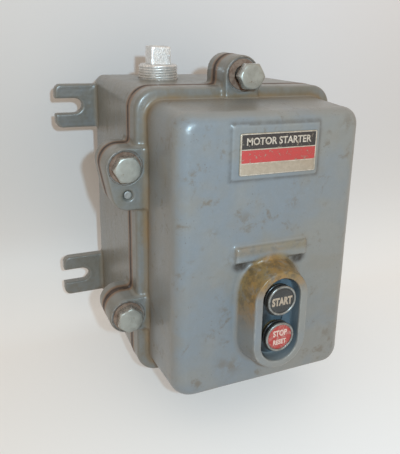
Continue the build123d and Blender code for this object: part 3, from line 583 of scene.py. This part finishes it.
# Each enamelled face or ink: its tone, its rubbed tone and how much is rubbed.
ENAMELS = {
    "start_black": ((0.026, 0.027, 0.027), (0.085, 0.083, 0.076), 0.08),
    "stop_red": ((0.315, 0.030, 0.026), (0.36, 0.22, 0.195), 0.15),
    "legend_cream": ((0.32, 0.265, 0.205), (0.17, 0.145, 0.12), 0.09),
    "legend_worn": ((0.54, 0.42, 0.37), (0.42, 0.15, 0.13), 0.09),
}
LOOKS = {"bolt_steel": bolt_material(), "rusty_washer": rust_material(), "plug_zinc": zinc_material(),
         "button_plate_paint": button_plate_material()}
for make, table in ((metal_material, METALS), (moulding_material, MOULDINGS), (striped_material, STRIPES),
                    (enamel_disc_material, ENAMELS)):
    for look_name, values in table.items():
        LOOKS[look_name] = make(look_name, *values)
paint = enamel_material()


# ---------------------------------------------------------------- castings
VOXEL = 1.15 * MM
# Rubbed dirty patches on the cover's face: x, z and radius.
SMEARS = [(-29, -90, 7), (-37, -86, 5), (-34, 1, 4), (-50, -60, 4), (-22, 32, 5), (-48, 24, 3.5),
          (18, 42, 5), (58, -78, 6), (-12, 97, 5), (62, 99, 6)]


def step(values, low, high):
    """Smooth step of an array."""
    t = np.clip((values - low) / (high - low), 0, 1)
    return t * t * (3 - 2 * t)


def falloff(distance, reach):
    """1 up to distance 0, and fading to nothing over about two reaches."""
    return np.exp(-(np.maximum(distance, 0) / reach) ** 2)


def in_mm(points):
    """The x, depth and z of points in metres, in millimetres."""
    return points[:, 0] / MM, -points[:, 1] / MM, points[:, 2] / MM


def obround_distance(x, z, half_x, half_z):
    """How far (x, z) is outside an upright slot around the hood's centre, negative inside."""
    return np.hypot(x, np.maximum(np.abs(z - HOOD_Z) - (half_z - half_x), 0)) - half_x


def box_distance(x, z, half, corner):
    """How far (x, z) is outside a rectangle with rounded corners around the origin, negative inside."""
    across, up = np.abs(x) - (half[0] - corner), np.abs(z) - (half[1] - corner)
    outside = np.hypot(np.maximum(across, 0), np.maximum(up, 0))
    return outside + np.minimum(np.maximum(across, up), 0) - corner


def nearest_ear(x, z):
    return np.min([np.hypot(x - ear_x, z - ear_z) for ear_x, ear_z in EARS], axis=0)


def freedom(points):
    """Low where a casting keeps its machined forms: the joint, the spotfaces and the wall face."""
    x, depth, z = in_mm(points)
    joint = step(np.abs(depth - JOINT), 0.3, 2.2)
    spot = np.where(depth > 150, step(np.abs(nearest_ear(x, z) - SPOTFACE_R), 0.2, 1.6), 1.0)
    return np.clip(np.minimum.reduce([joint, spot, step(depth, 0.2, 1.5)]), 0.12, 1)


def remeshed(node, extra):
    """Welded copy of a CAD node and extra closed forms, as one even quad skin."""
    form = bmesh.new()
    form.from_mesh(frame["nodes"][node].data)
    bmesh.ops.remove_doubles(form, verts=form.verts, dist=1e-6)
    for mesh in extra:
        form.from_mesh(mesh)
    mesh = bpy.data.meshes.new(node + "_solid")
    form.to_mesh(mesh)
    form.free()
    holder = object_from(node + "_solid", mesh)
    skin = holder.modifiers.new("skin", "REMESH")
    skin.mode = "VOXEL"
    skin.voxel_size = VOXEL
    return baked(holder, node + "_skin")


def relief(points, normals, near, rounds):
    """How far the surface lies inside its own smoothed form: positive in hollows."""
    return np.einsum("ij,ij->i", near.smoothed(points, rounds) - points, normals)


def cast_surface(mesh, near, seed):
    """Rounds a skin as a casting: wide fillets in corners, small radii on edges, uneven faces."""
    points = read_mesh(mesh)
    hold = freedom(points)
    for _ in range(6):
        for weight in (0.62, -0.64):
            points += (near.mean(points) - points) * weight
    for _ in range(2):
        write_points(mesh, points)
        normals = mesh_normals(mesh)
        for _ in range(4):
            pull = near.mean(points) - points
            outward = np.einsum("ij,ij->i", pull, normals)
            points += pull * np.where(outward > 0, 0.7, 0.05)[:, None] * hold[:, None]
    write_points(mesh, points)
    normals = mesh_normals(mesh)
    offset = relief(points, normals, near, 14)
    points += normals * (offset * (1 - step(np.abs(offset), 0.10 * MM, 0.22 * MM)))[:, None]
    waves = lattice_noise(points, 0.034, seed) * 0.6 + lattice_noise(points, 0.013, seed + 1) * 0.4
    points += normals * ((waves - 1.0) * 0.16 * MM * hold)[:, None]
    write_points(mesh, points)


def cast_fields(mesh, near):
    """Per-point fields that steer the paint's dirt, rust and wear, and where shade and light are painted."""
    points, normals = read_mesh(mesh), mesh_normals(mesh)
    x, depth, z = in_mm(points)
    ear_r = nearest_ear(x, z)
    in_recess = (obround_distance(x, z, *RECESS_HALF) < 0.6) & (depth > 220) & (depth < 235)
    on_hood = step(obround_distance(x, z, *HOOD_HALF), 5.0, -1.0) * step(depth, 213.6, 216)
    on_rim = np.where(depth > 234.6, 0.25 + 0.75 * step(z, -26, -12), 1.0)
    on_hood = on_hood * ~in_recess * step(z - 0.55 * x, -48, -10) * on_rim
    on_ledge = (np.abs(x) < 31.5) * step(z, 2, 7) * (z < 13) * step(depth, 214.2, 217)
    # Painted shadow under the ends of the ledge, and a painted shade line round the foot of the nameplate pad.
    shade_under_ledge = step(-np.hypot((np.abs(x) - 25) / 1.4, z + 4.9), -6.2, -2.0) * (z < -2.0)
    shade_under_ledge = shade_under_ledge * (depth > 212) * (depth < 219)
    pad_foot_shade = falloff(box_distance(x, z - PAD_Z, PAD_HALF, 0.0), 1.5) * (depth > 212) * (depth < 214.4)
    root = falloff(box_distance(x, z, PAN_HALF, PAN_CORNER), 4.5) * falloff(depth - FLANGE_FRONT, 9.5)
    # Left-facing walls only: painted shade, with less of it on the rear casting.
    left_wall_shade = step(-np.abs(normals[:, 1]), -0.85, -0.35) * (x < 0) * step(z, -130, -30)
    left_wall_shade = left_wall_shade * (1 - 0.55 * (depth < 148))
    smear = np.max([np.exp(-((x - cx) ** 2 + (z - cz) ** 2) / r ** 2) for cx, cz, r in SMEARS], axis=0)
    hollow = np.clip(relief(points, normals, near, 16) / MM * 1.5, 0, 1)
    fields = {
        "hollow": hollow * (1 - 0.65 * step(depth, 208, 213)),
        "edge": np.clip(-relief(points, normals, near, 4) / MM * 3.0, 0, 1),
        "seam": step(-np.abs(depth - JOINT), -8.5, -0.8),
        "root": root * (depth > FLANGE_FRONT - 3) * (ear_r > EAR_R),
        "bare": (ear_r < SPOTFACE_R) & (depth > 150),
        "side": np.maximum(left_wall_shade, 0.12 * step(normals[:, 2], 0.3, 0.7)),
        "stain": np.maximum(on_hood, on_ledge * 0.5),
        "clean": in_recess * 0.9,
        # Painted shade under the ledge, round the pad and on the recess's left side.
        "painted_shade": np.maximum.reduce([shade_under_ledge, 0.45 * pad_foot_shade, in_recess * step(-x, 6, 13) * 0.85]),
        "dull": np.maximum(0.85 * step(-depth, -158, -156),
                           0.75 * ((np.abs(x) > 84) & (depth < 12))),
        "smear": smear * (depth > 205),
    }
    for name, values in fields.items():
        field = mesh.attributes.new(name, "FLOAT", "POINT")
        field.data.foreach_set("value", np.ascontiguousarray(values, dtype=np.float32))


def spotface_rims(mesh):
    """Draws the skin onto clean circles where the spotfaces are cut."""
    points = read_mesh(mesh)
    x, depth, z = in_mm(points)
    front = (depth > 153.6) & (depth < 156.2) & (mesh_normals(mesh)[:, 1] < -0.2)
    for ear_x, ear_z in EARS:
        reach = np.hypot(x - ear_x, z - ear_z)
        for low, high, radius, level in ((12.4, 13.25, 13.0, 154.1), (13.25, 14.1, 13.65, 155.25)):
            band = front & (reach > low) & (reach <= high)
            scale = radius / reach[band]
            points[band, 0] = (ear_x + (x[band] - ear_x) * scale) * MM
            points[band, 2] = (ear_z + (z[band] - ear_z) * scale) * MM
            points[band, 1] = -level * MM
        points[front & (reach > 8) & (reach <= 12.4), 1] = -154.1 * MM
    write_points(mesh, points)


def cast_piece(name, node, body, seed, extra=()):
    mesh = remeshed(node, extra)
    near = Neighbours(mesh)
    cast_surface(mesh, near, seed)
    if node == "cover_shell":
        spotface_rims(mesh)
    write_points(mesh, np.clip(read_mesh(mesh), *(tuple(corner) for corner in cad_box)))
    cast_fields(mesh, near)
    smooth_shade(mesh)
    piece(name, mesh, body, "enclosure_paint", [node], paint)


def ridge():
    """Low foundry fin along the top of the housing, from the conduit hub to the top ear."""
    side = Vector((0.9, 0.35, 0))
    rings = []
    for centre, height in ((Vector((-26, -78, 116.6)), 1.0), (Vector((-13, -121, 119.4)), 1.6)):
        low, high = centre - Vector((0, 0, 3)), centre + Vector((0, 0, height))
        rings.append([low - side, low + side, high + side, high - side])
    return rings_mesh("ridge", rings)


cast_piece("rear_casting", "rear_housing", "housing", 11, [ridge()])
cast_piece("cover_casting", "cover_shell", "cover", 21)


# ---------------------------------------------------------------- cover bolts, washers, dowels
HEX_FLATS, HEX_HEIGHT, WASHER_THICK = 19.05, 8.0, 1.6
BOLT_R, BOLT_END, BOLT_PITCH = 6.3, 112.0, 1.95
BOLT_TURNS = (22, 0, 9, 41, 0, 30)


def hex_head(x, z, seat, turn):
    """Hexagon head with a chamfered crown and a washer face."""
    angles = [FULL_TURN * i / 72 for i in range(72)]

    def reach(angle):
        folded = (angle - turn) % (math.pi / 3) - math.pi / 6
        return HEX_FLATS / 2 / math.cos(folded)

    crown_r, slope = HEX_FLATS * 0.475, 0.55

    def ring(radius, depth):
        return [(x + radius(a) * math.cos(a), -depth(a), z + radius(a) * math.sin(a)) for a in angles]

    top = seat + HEX_HEIGHT
    rings = [
        ring(lambda a: BOLT_R * 0.9, lambda a: seat),
        ring(lambda a: HEX_FLATS * 0.46, lambda a: seat),
        ring(lambda a: HEX_FLATS * 0.47, lambda a: seat + 0.4),
        ring(lambda a: reach(a) - 0.15, lambda a: seat + 0.5),
        ring(reach, lambda a: seat + 0.8),
        ring(reach, lambda a: top - (reach(a) - crown_r) * slope - 0.25),
        ring(lambda a: reach(a) - 0.18, lambda a: top - (reach(a) - crown_r) * slope),
        ring(lambda a: crown_r + 0.2, lambda a: top - 0.12),
        ring(lambda a: crown_r - 0.4, lambda a: top),
        ring(lambda a: crown_r * 0.6, lambda a: top - 0.05),
        ring(lambda a: crown_r * 0.25, lambda a: top - 0.08),
    ]
    return rings_mesh("hex_head", rings)


def bolt(x, z, backed_out, turn):
    seat = EAR_FRONT - 1.0 + WASHER_THICK + backed_out
    end = BOLT_END + backed_out
    thread_top = seat - 17.0
    grip = lathe("grip", x, z, [(BOLT_R - 0.5, thread_top), (BOLT_R - 0.1, thread_top + 0.5),
                                (BOLT_R - 0.1, seat + 0.2)], 48)
    rings = thread_rings(x, z, BOLT_R - 0.02, BOLT_PITCH, 0.95, end + 1.2, thread_top + 0.3)
    tip = [[(x + (px - x) * s, -end if s < 0.9 else py + 0.6, z + (pz - z) * s)
            for px, py, pz in rings[0]] for s in (0.80, 0.93)]
    return [hex_head(x, z, seat, turn), grip, rings_mesh("thread", tip + rings)]


def cover_bolt_set():
    """Six bolts, each turned its own way; the top one is backed out."""
    meshes = []
    for (x, z), turn in zip(EARS, BOLT_TURNS):
        out = 9.0 if (x, z) == TOP_EAR else 0.0
        meshes += bolt(x, z, out, math.radians(turn))
    mesh = merged("bolts", meshes)
    smooth_shade(mesh, 28)
    piece("bolts", mesh, "cover", "bolt_steel", ["cover_bolts"])


def washer_set():
    seat = EAR_FRONT - 1.0
    meshes = []
    for x, z in EARS:
        inner, outer, thick, lip = 7.0, 12.2, WASHER_THICK, 0.35
        profile = [(inner, seat), (inner, seat + thick - lip), (inner + lip, seat + thick)]
        profile += [(inner + (outer - inner) * k / 6, seat + thick) for k in range(1, 6)]
        profile += [(outer - lip, seat + thick), (outer, seat + thick - lip), (outer, seat)]
        meshes.append(lathe("washer", x, z, profile, 72, closed=True))
    mesh = roughened(merged("washers", meshes), 2.2, 0.22, 31)
    smooth_shade(mesh, 40)
    piece("washers", mesh, "cover", "rusty_washer", ["bolt_washers"])


def spotface_set():
    """The machined seats under the washers, each with the sharp rim the cutter leaves."""
    profile = [(7.1, 153.4), (7.1, 154.4), (9.0, 154.42), (11.0, 154.38), (13.15, 154.4), (13.4, 154.55),
               (13.42, 155.35), (13.6, 155.5), (13.85, 155.42), (14.0, 155.1), (14.0, 153.4)]
    mesh = merged("seats", [lathe("seat", x, z, profile, 96, closed=True) for x, z in EARS])
    smooth_shade(mesh, 40)
    piece("spotface_seats", mesh, "cover", "enclosure_paint", look=LOOKS["worn_rim"])


def dowel_set():
    back, front, radius = 120.0, 153.9, 3.175
    profile = [(radius - 0.5, back), (radius, back + 0.6), (radius, front - 0.6),
               (radius - 0.25, front - 0.15), (radius - 0.6, front), (radius * 0.4, front - 0.05)]
    places = [(-93.0, 40.0), (93.0, -40.0)]
    mesh = merged("dowels", [lathe("dowel", x, z, profile, 40) for x, z in places])
    smooth_shade(mesh, 30)
    piece("dowels", mesh, "housing", "dowel_steel", ["dowel_pins"])


cover_bolt_set()
washer_set()
spotface_set()
dowel_set()


# ---------------------------------------------------------------- conduit plug


def upright_copy(mesh, x, y):
    """Stands a mesh that lies around the Y axis upright at (x, y): depth becomes height."""
    points = read_mesh(mesh)
    write_points(mesh, np.stack([points[:, 0] + x * MM, points[:, 2] + y * MM, -points[:, 1]], axis=1))
    return mesh


def square_head(half, low, high):
    """Slightly drafted square with a shallow cored top, fine enough to round and roughen."""
    outline = [(1, 1), (-1, 1), (-1, -1), (1, -1)]
    levels = [(half + 0.35, low), (half + 0.25, low + 1.0), (half, high), (half - 2.6, high),
              (half - 3.4, high - 1.6)]
    rings = [[(sx * reach, -depth, sz * reach) for sx, sz in outline] for reach, depth in levels]
    holder = object_from("square_dense", bevelled(rings_mesh("square_head", rings), 1.3, 4, 25))
    dense = holder.modifiers.new("dense", "SUBSURF")
    dense.subdivision_type = "SIMPLE"
    dense.levels = 3
    return roughened(baked(holder, "square_head"), 1.6, 0.3, 41)


def plug():
    thread_low, thread_top, top = 106.6, 131.6, 146.8
    radius, pitch = 16.62, 2.209
    rings = thread_rings(0, 0, radius, pitch, 1.15, thread_low, thread_top - 0.9, 96, 10)
    crown = [[(px * s, -thread_top + d, pz * s) for px, _, pz in rings[-1]]
             for s, d in ((0.985, 0.35), (0.955, 0.0), (0.80, 0.0), (0.5, 0.0))]
    thread = rings_mesh("plug_thread", rings + crown)
    head = square_head(8.65, thread_top - 0.3, top)
    mesh = merged("plug", [upright_copy(m, -43.0, -76.0) for m in (thread, head)])
    smooth_shade(mesh, 32)
    piece("plug", mesh, "housing", "plug_zinc", ["conduit_plug"])


plug()


# ---------------------------------------------------------------- lettering and nameplate


def lettering(name, words, height, x, z, depth, squeeze=1.0, weight=0.0, raise_by=0.2):
    """Plain block letters that stand a little proud of a face that looks along -Y."""
    curve = bpy.data.curves.new(name, "FONT")
    curve.body = words
    curve.align_x, curve.align_y = "CENTER", "CENTER"
    curve.size = 1.0
    curve.offset = weight
    curve.extrude = 0.5
    curve.resolution_u = 3
    mesh = baked(object_from(name, curve), name)
    points = read_mesh(mesh)
    low, high = points.min(axis=0), points.max(axis=0)
    scale = height / (high[1] - low[1])
    flat = (points - (low + high) / 2) * scale
    out = np.where(points[:, 2] > 0, raise_by, -0.1)
    placed = np.stack([x + flat[:, 0] * squeeze, -depth - out, z + flat[:, 1]], axis=1)
    write_points(mesh, placed * MM)
    return mesh


def rounded_slab(name, x, z, half_x, half_z, corner, back, front, edge=0.2, arc=6):
    """Slab with rounded corners in its outline and a small bevel round its front."""
    def outline(inset, depth):
        ring = []
        r = max(corner - inset, 0.05)
        for quarter in range(4):
            cx = (half_x - corner) * (1 if quarter in (0, 3) else -1)
            cz = (half_z - corner) * (1 if quarter in (0, 1) else -1)
            for i in range(arc + 1):
                a = math.pi / 2 * (quarter + i / arc)
                ring.append((x + cx + r * math.cos(a), -depth, z + cz + r * math.sin(a)))
        return ring

    return rings_mesh(name, [outline(0, back), outline(0, front - edge),
                             outline(edge * 0.4, front - edge * 0.3), outline(edge, front)])


PLATE_X, PLATE_Z, PLATE_HALF = 1.5, 80.6, (31.5, 15.25)
PLATE_BACK, PLATE_FRONT = 215.0, 215.8


def plate_material():
    """Etched plate: black and red enamel bands on bare, tarnished metal."""
    g = Graph("plate_print")
    height = g.axis("Z")
    scuff = g.noise(3.0, 4.0, 0.7, 0.4)
    fine = g.noise(0.7, 3.0, 0.6)
    metal = g.mix(g.span(scuff, 0.35, 0.65), (0.42, 0.37, 0.29), (0.30, 0.26, 0.20))

    def band(low_mm, high_mm):
        soft = 0.12 * MM
        above = g.span(height, low_mm * MM - soft, low_mm * MM + soft)
        return g.times(above, g.span(height, high_mm * MM + soft, high_mm * MM - soft))

    inside = g.times(g.span(g.axis("X"), -29.4 * MM, -29.2 * MM), g.span(g.axis("X"), 32.4 * MM, 32.2 * MM))
    chipped = g.span(g.times(scuff, g.span(fine, 0.2, 0.8, 0.85, 1.15)), 0.66, 0.60)
    black, red = g.times(band(84.6, 95.0), inside, chipped), g.times(band(74.6, 83.8), inside, chipped)
    tan = g.times(band(66.2, 73.8), inside)
    colour = g.mix(g.times(tan, 0.55), metal, (0.42, 0.36, 0.29))
    colour = g.mix(black, colour, (0.026, 0.024, 0.025))
    colour = g.mix(red, colour, g.mix(g.span(scuff, 0.3, 0.7), (0.395, 0.040, 0.040), (0.335, 0.044, 0.042)))
    enamel = g.most(black, red)
    rough = g.span(fine, 0.2, 0.8, 0.28, 0.42)
    normal = g.bump(g.plus(g.times(enamel, -1.0), g.times(fine, 0.3)), 0.10, 0.8)
    return g.finish(colour, rough, g.math("SUBTRACT", 0.55, g.times(enamel, 0.55)), normal)


def raised_bar(x, z, half_x, half_z, depth, proud=0.22):
    """Thin rounded line that stands proud of the plate."""
    corner = min(half_x, half_z) * 0.9
    return rounded_slab("bar", x, z, half_x, half_z, corner, depth - 0.1, depth + proud, 0.1, 3)


def nameplate():
    slab = rounded_slab("plate", PLATE_X, PLATE_Z, *PLATE_HALF, 1.5, PLATE_BACK, PLATE_FRONT, 0.2)
    smooth_shade(slab, 30)
    piece("nameplate_slab", slab, "cover", "plate_print", ["nameplate"], plate_material())
    parts = [lettering("title", "MOTOR STARTER", 5.4, PLATE_X, 90.0, PLATE_FRONT, 0.92, 0.022)]
    for z in (95.2, 84.2, 74.2, 66.0):
        parts.append(raised_bar(PLATE_X, z, 30.6, 0.28, PLATE_FRONT))
    for side in (-1, 1):
        parts.append(raised_bar(PLATE_X + side * 30.6, PLATE_Z, 0.28, 14.6, PLATE_FRONT))
    relief_mesh = merged("nameplate_relief", parts)
    smooth_shade(relief_mesh, 30)
    piece("nameplate_relief", relief_mesh, "cover", "plate_print", look=LOOKS["plate_relief"])


nameplate()


# ---------------------------------------------------------------- push buttons


def button(name, z, ink, enamel, rows, weight):
    """Cap, bezel ring and legend disc with raised letters."""
    body = name + "_button"
    cap_r, pocket_r, back, pocket, front = 11.4, 9.2, 228.8, 232.8, 234.2
    profile = [(4.0, pocket), (pocket_r - 0.3, pocket), (pocket_r, pocket - 0.3),
               (pocket_r, back + 0.2), (pocket_r + 0.2, back), (cap_r - 0.3, back),
               (cap_r, back + 0.3), (cap_r, back + 1.5), (cap_r - 0.35, back + 1.75),
               (cap_r - 0.35, back + 2.3), (cap_r, back + 2.55), (cap_r, front - 0.2),
               (cap_r - 0.2, front), (4.0, front)]
    cap = lathe(name + "_cap_body", 0, z, profile, 72, closed=True)
    smooth_shade(cap, 35)
    piece(name + "_cap_body", cap, body, "cap_plastic", [name + "_cap"])
    inner, outer, crown = 10.2, 12.0, 236.0
    profile = [(inner, front), (inner, crown - 0.45), (inner + 0.2, crown - 0.15),
               (inner + 0.55, crown), (outer - 0.75, crown), (outer - 0.35, crown - 0.15),
               (outer - 0.1, crown - 0.45), (outer, crown - 0.9), (outer, front)]
    ring = lathe(name + "_ring", 0, z, profile, 80, closed=True)
    smooth_shade(ring, 50)
    piece(name + "_ring", ring, body, "bezel_nickel", [name + "_bezel"])
    face, disc_r = 235.4, 10.15
    profile = [(disc_r, front), (disc_r, face - 0.25), (disc_r - 0.3, face - 0.05),
               (disc_r * 0.75, face), (disc_r * 0.4, face + 0.05), (disc_r * 0.12, face + 0.06)]
    disc = lathe(name + "_disc", 0, z, profile, 72)
    smooth_shade(disc, 40)
    piece(name + "_disc", disc, body, enamel, [name + "_legend"])
    letters = [lettering(name + "_row", words, tall, 0, z + up, face, squeeze, weight, 0.14)
               for words, tall, up, squeeze in rows]
    mesh = merged(name + "_letters", letters)
    piece(name + "_letters", mesh, body, enamel, look=LOOKS[ink])


button("start", START_Z, "legend_cream", "start_black", [("START", 6.8, -0.4, 0.68)], 0.05)
button("stop", STOP_Z, "legend_worn", "stop_red",
       [("STOP", 5.2, 3.4, 0.74), ("RESET", 4.2, -4.0, 0.78)], 0.035)


# ---------------------------------------------------------------- wound wire


def wire_ring(x, y, z, out, along, radius, wire, corners):
    """Outline of round wire around a place that lies radius away from (x, y, z)."""
    centre = Vector((x, y, z)) + out * radius
    turns = [FULL_TURN * i / corners for i in range(corners)]
    return [centre + out * (wire * math.cos(b)) + along * (wire * math.sin(b)) for b in turns]


def helix_tube(name, x, y, low, high, radius, wire, turns, steps=20):
    """Round wire wound about an upright axis."""
    count = int(turns * steps)
    rings = []
    for i in range(count + 1):
        angle = FULL_TURN * i / steps
        out = Vector((math.cos(angle), math.sin(angle), 0))
        rings.append(wire_ring(x, y, low + (high - low) * i / count, out, Vector((0, 0, 1)), radius, wire, 8))
    return rings_mesh(name, rings)


def wound_spring(x, z, radius, wire, back, front, turns, steps=28):
    """Compression spring about an axis along Y, with its last coils closed."""
    rings = []
    for i in range(int((turns + 2) * steps) + 1):
        turn = i / steps
        rise = min(max((turn - 0.9) / (turns + 0.2), 0.0), 1.0)
        closed = wire * 2.05 * (min(turn, 0.9) + max(turn - turns - 1.1, 0.0)) / 1.8
        depth = back + wire + closed + (front - back - 2 * wire - 2.05 * wire) * rise
        out = Vector((math.cos(FULL_TURN * turn), 0, math.sin(FULL_TURN * turn)))
        rings.append(wire_ring(x, -depth, z, out, Vector((0, 1, 0)), radius, wire, 10))
    return rings_mesh("spring", rings)


# ---------------------------------------------------------------- heater elements


def heaters():
    """Three strips, each with a ceramic core that resistance wire is wound about."""
    low, high = (corner.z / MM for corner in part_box("heater_elements"))
    middle, y = (low + high) / 2, -66.0
    profile = [(3.0, middle + 5.8), (3.3, middle + 5.5), (3.3, middle - 5.5), (3.0, middle - 5.8)]
    for index, x in enumerate((-25.0, 0.0, 25.0)):
        coil = merged(f"heater_coil_{index}",
                      [helix_tube("coil", x, y, middle - 4.6, middle + 4.6, 3.75, 0.5, 7.0)])
        smooth_shade(coil)
        piece(f"heater_coil_{index}", coil, "housing", "heater_alloy")
        core = merged(f"heater_core_{index}", [upright_copy(lathe("core", 0, 0, profile, 32), x, y)])
        smooth_shade(core, 40)
        piece(f"heater_core_{index}", core, "housing", "bobbin_nylon")
        piece(f"heater_strip_{index}", heater_strip(x, low, high), "housing", "heater_alloy",
              ["heater_elements"] if index == 0 else ())


def heater_strip(x, low, high):
    """Flat strip between its two holes, narrower in the middle, under the wound element."""
    back, thick, half = -60.0, 2.0, 5.0
    rings = []
    count = 16
    for i in range(count + 1):
        z = low + (high - low) * i / count
        wide = half * (1.0 - 0.28 * math.sin(math.pi * i / count) ** 4)
        front = back - thick
        rings.append([(x - wide, back, z), (x + wide, back, z), (x + wide, front, z), (x - wide, front, z)])
    mesh = bevelled(merged("strip", [rings_mesh("strip_raw", rings)]), 0.25, 2, 40)
    smooth_shade(mesh, 30)
    return mesh


heaters()


# ---------------------------------------------------------------- springs


def squashed_springs(node, places, turns, body):
    """Springs of one node, wound from its back to its front and carried by a body."""
    low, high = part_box(node)
    wire = 0.45
    reach = (high.z - low.z) / 2 / MM - wire
    coils = [wound_spring(x, z, reach, wire, -high.y / MM, -low.y / MM, turns) for x, z in places]
    mesh = merged(node + "_coils", coils)
    smooth_shade(mesh, 50)
    made = piece(node + "_coils", mesh, body, "spring_steel", [node])
    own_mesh(made)


squashed_springs("start_spring", [(0, START_Z)], 1, "cover")
squashed_springs("stop_spring", [(0, STOP_Z)], 1, "cover")
squashed_springs("reset_spring", [(0, STOP_Z)], 2, "housing")
squashed_springs("return_springs", [(-33.5, CARRIER_Z), (33.5, CARRIER_Z)], 10, "housing")


# ---------------------------------------------------------------- CAD nodes that keep their shape


def dress_cad_nodes():
    """Material and softened edges for every CAD node that still shows."""
    node_slot = {row["node"]: row["material_slot"] for row in frame["record"]["subparts"]}
    for node, holder in frame["nodes"].items():
        if holder.hide_render:
            continue
        holder.data.materials.clear()
        holder.data.materials.append(LOOKS.get(node_slot[node], paint))
        holder.modifiers.new("weld", "WELD").merge_threshold = 2e-6
        if "spring" not in node:
            small = any(word in node for word in ("screw", "bridge", "clip", "contacts"))
            add_bevel(holder, 0.15 if small else 0.45, 2, 40)


dress_cad_nodes()


# ---------------------------------------------------------------- camera, light, backdrop
camera_data = bpy.data.cameras.new("camera")
camera = object_from("camera", camera_data)
camera.location = (-0.20348, -0.56175, 0.17045)
camera.rotation_euler = [math.radians(a) for a in (72.949, -2.181, -26.020)]
camera_data.sensor_fit = "AUTO"
camera_data.sensor_width = 36.0
camera_data.lens = 45.225
camera_data.shift_x = -0.0859
camera_data.shift_y = -0.0700
bpy.context.scene.camera = camera


def backdrop_material():
    """Pale board that is seen from the front only, so that the back of the object shows too."""
    g = Graph("backdrop")
    # Colour graded by height, and darker and warmer towards the left: painted light and shade on the board.
    fade = g.span(g.axis("Z"), 0.20, -0.30, kind="LINEAR")
    board_left_shade = g.span(g.axis("X"), 0.18, -0.26, kind="LINEAR")
    colour = g.mix(fade, (0.665, 0.705, 0.755), (0.435, 0.480, 0.510))
    colour = g.mix(board_left_shade, colour, (0.83, 0.775, 0.715), "MULTIPLY")
    # Emission that grows towards the floor: a painted glow that brightens it.
    painted_floor_glow = g.mix(g.times(fade, fade, fade), (0.0, 0.0, 0.0), (0.94, 0.91, 0.87))
    g.feed(g.bsdf.inputs["Emission Color"], painted_floor_glow)
    g.set(Emission_Strength=1.0, Specular_IOR_Level=0.25)
    near = g.math("LESS_THAN", g.node("LightPath").outputs["Ray Length"], 2.5 * MM)
    unseen = g.most(g.node("NewGeometry").outputs["Backfacing"], near)
    clear = g.node("BsdfTransparent").outputs[0]
    blend = g.node("MixShader", unseen, g.bsdf.outputs[0], clear).outputs[0]
    g.feed(g.tree.nodes["Material Output"].inputs["Surface"], blend)
    return g.finish(colour, 0.5)


def backdrop():
    """A floor just under the object, swept up into a wall behind it."""
    half, wall, bend = 3.0, 0.055, 0.09
    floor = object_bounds()[0][2] - 0.0005
    profile = [(-half, floor)]
    for i in range(33):
        angle = math.radians(90 * i / 32)
        profile.append((wall - bend + bend * math.sin(angle), floor + bend - bend * math.cos(angle)))
    profile.append((wall, half))
    form = bmesh.new()
    rows = [[form.verts.new((x, y, z)) for x in (-half, half)] for y, z in profile]
    for low, high in zip(rows, rows[1:]):
        form.faces.new([low[0], low[1], high[1], high[0]]).smooth = True
    mesh = bpy.data.meshes.new("backdrop")
    form.to_mesh(mesh)
    form.free()
    mesh.materials.append(backdrop_material())
    board = object_from("backdrop", mesh)
    board.visible_shadow = False
    board.visible_diffuse = False
    board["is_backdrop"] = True


backdrop()


flash_data = bpy.data.lights.new("flash", "AREA")
flash_data.size, flash_data.energy, flash_data.color = 0.016, 3.0, (0.58, 0.82, 0.98)
flash = object_from("flash", flash_data)
flash.location = (-0.180, -0.69, 0.235)
flash.rotation_euler = (Vector((0, -0.15, 0)) - flash.location).to_track_quat("-Z", "Y").to_euler()


def show_pale_surroundings(tree):
    """The camera sees neutral pale surroundings; the room's light stays warm."""
    pale = tree.nodes.new("ShaderNodeBackground")
    pale.inputs["Color"].default_value = (0.68, 0.69, 0.70, 1)
    path = tree.nodes.new("ShaderNodeLightPath")
    choose = tree.nodes.new("ShaderNodeMixShader")
    tree.links.new(path.outputs["Is Camera Ray"], choose.inputs[0])
    tree.links.new(tree.nodes["Background"].outputs[0], choose.inputs[1])
    tree.links.new(pale.outputs[0], choose.inputs[2])
    tree.links.new(choose.outputs[0], tree.nodes["World Output"].inputs["Surface"])


world = bpy.data.worlds.new("world")
bpy.context.scene.world = world
world.use_nodes = True
world.node_tree.nodes["Background"].inputs["Color"].default_value = (0.79, 0.65, 0.53, 1)
world.node_tree.nodes["Background"].inputs["Strength"].default_value = 1.12
show_pale_surroundings(world.node_tree)
bpy.context.scene.view_settings.view_transform = "Standard"
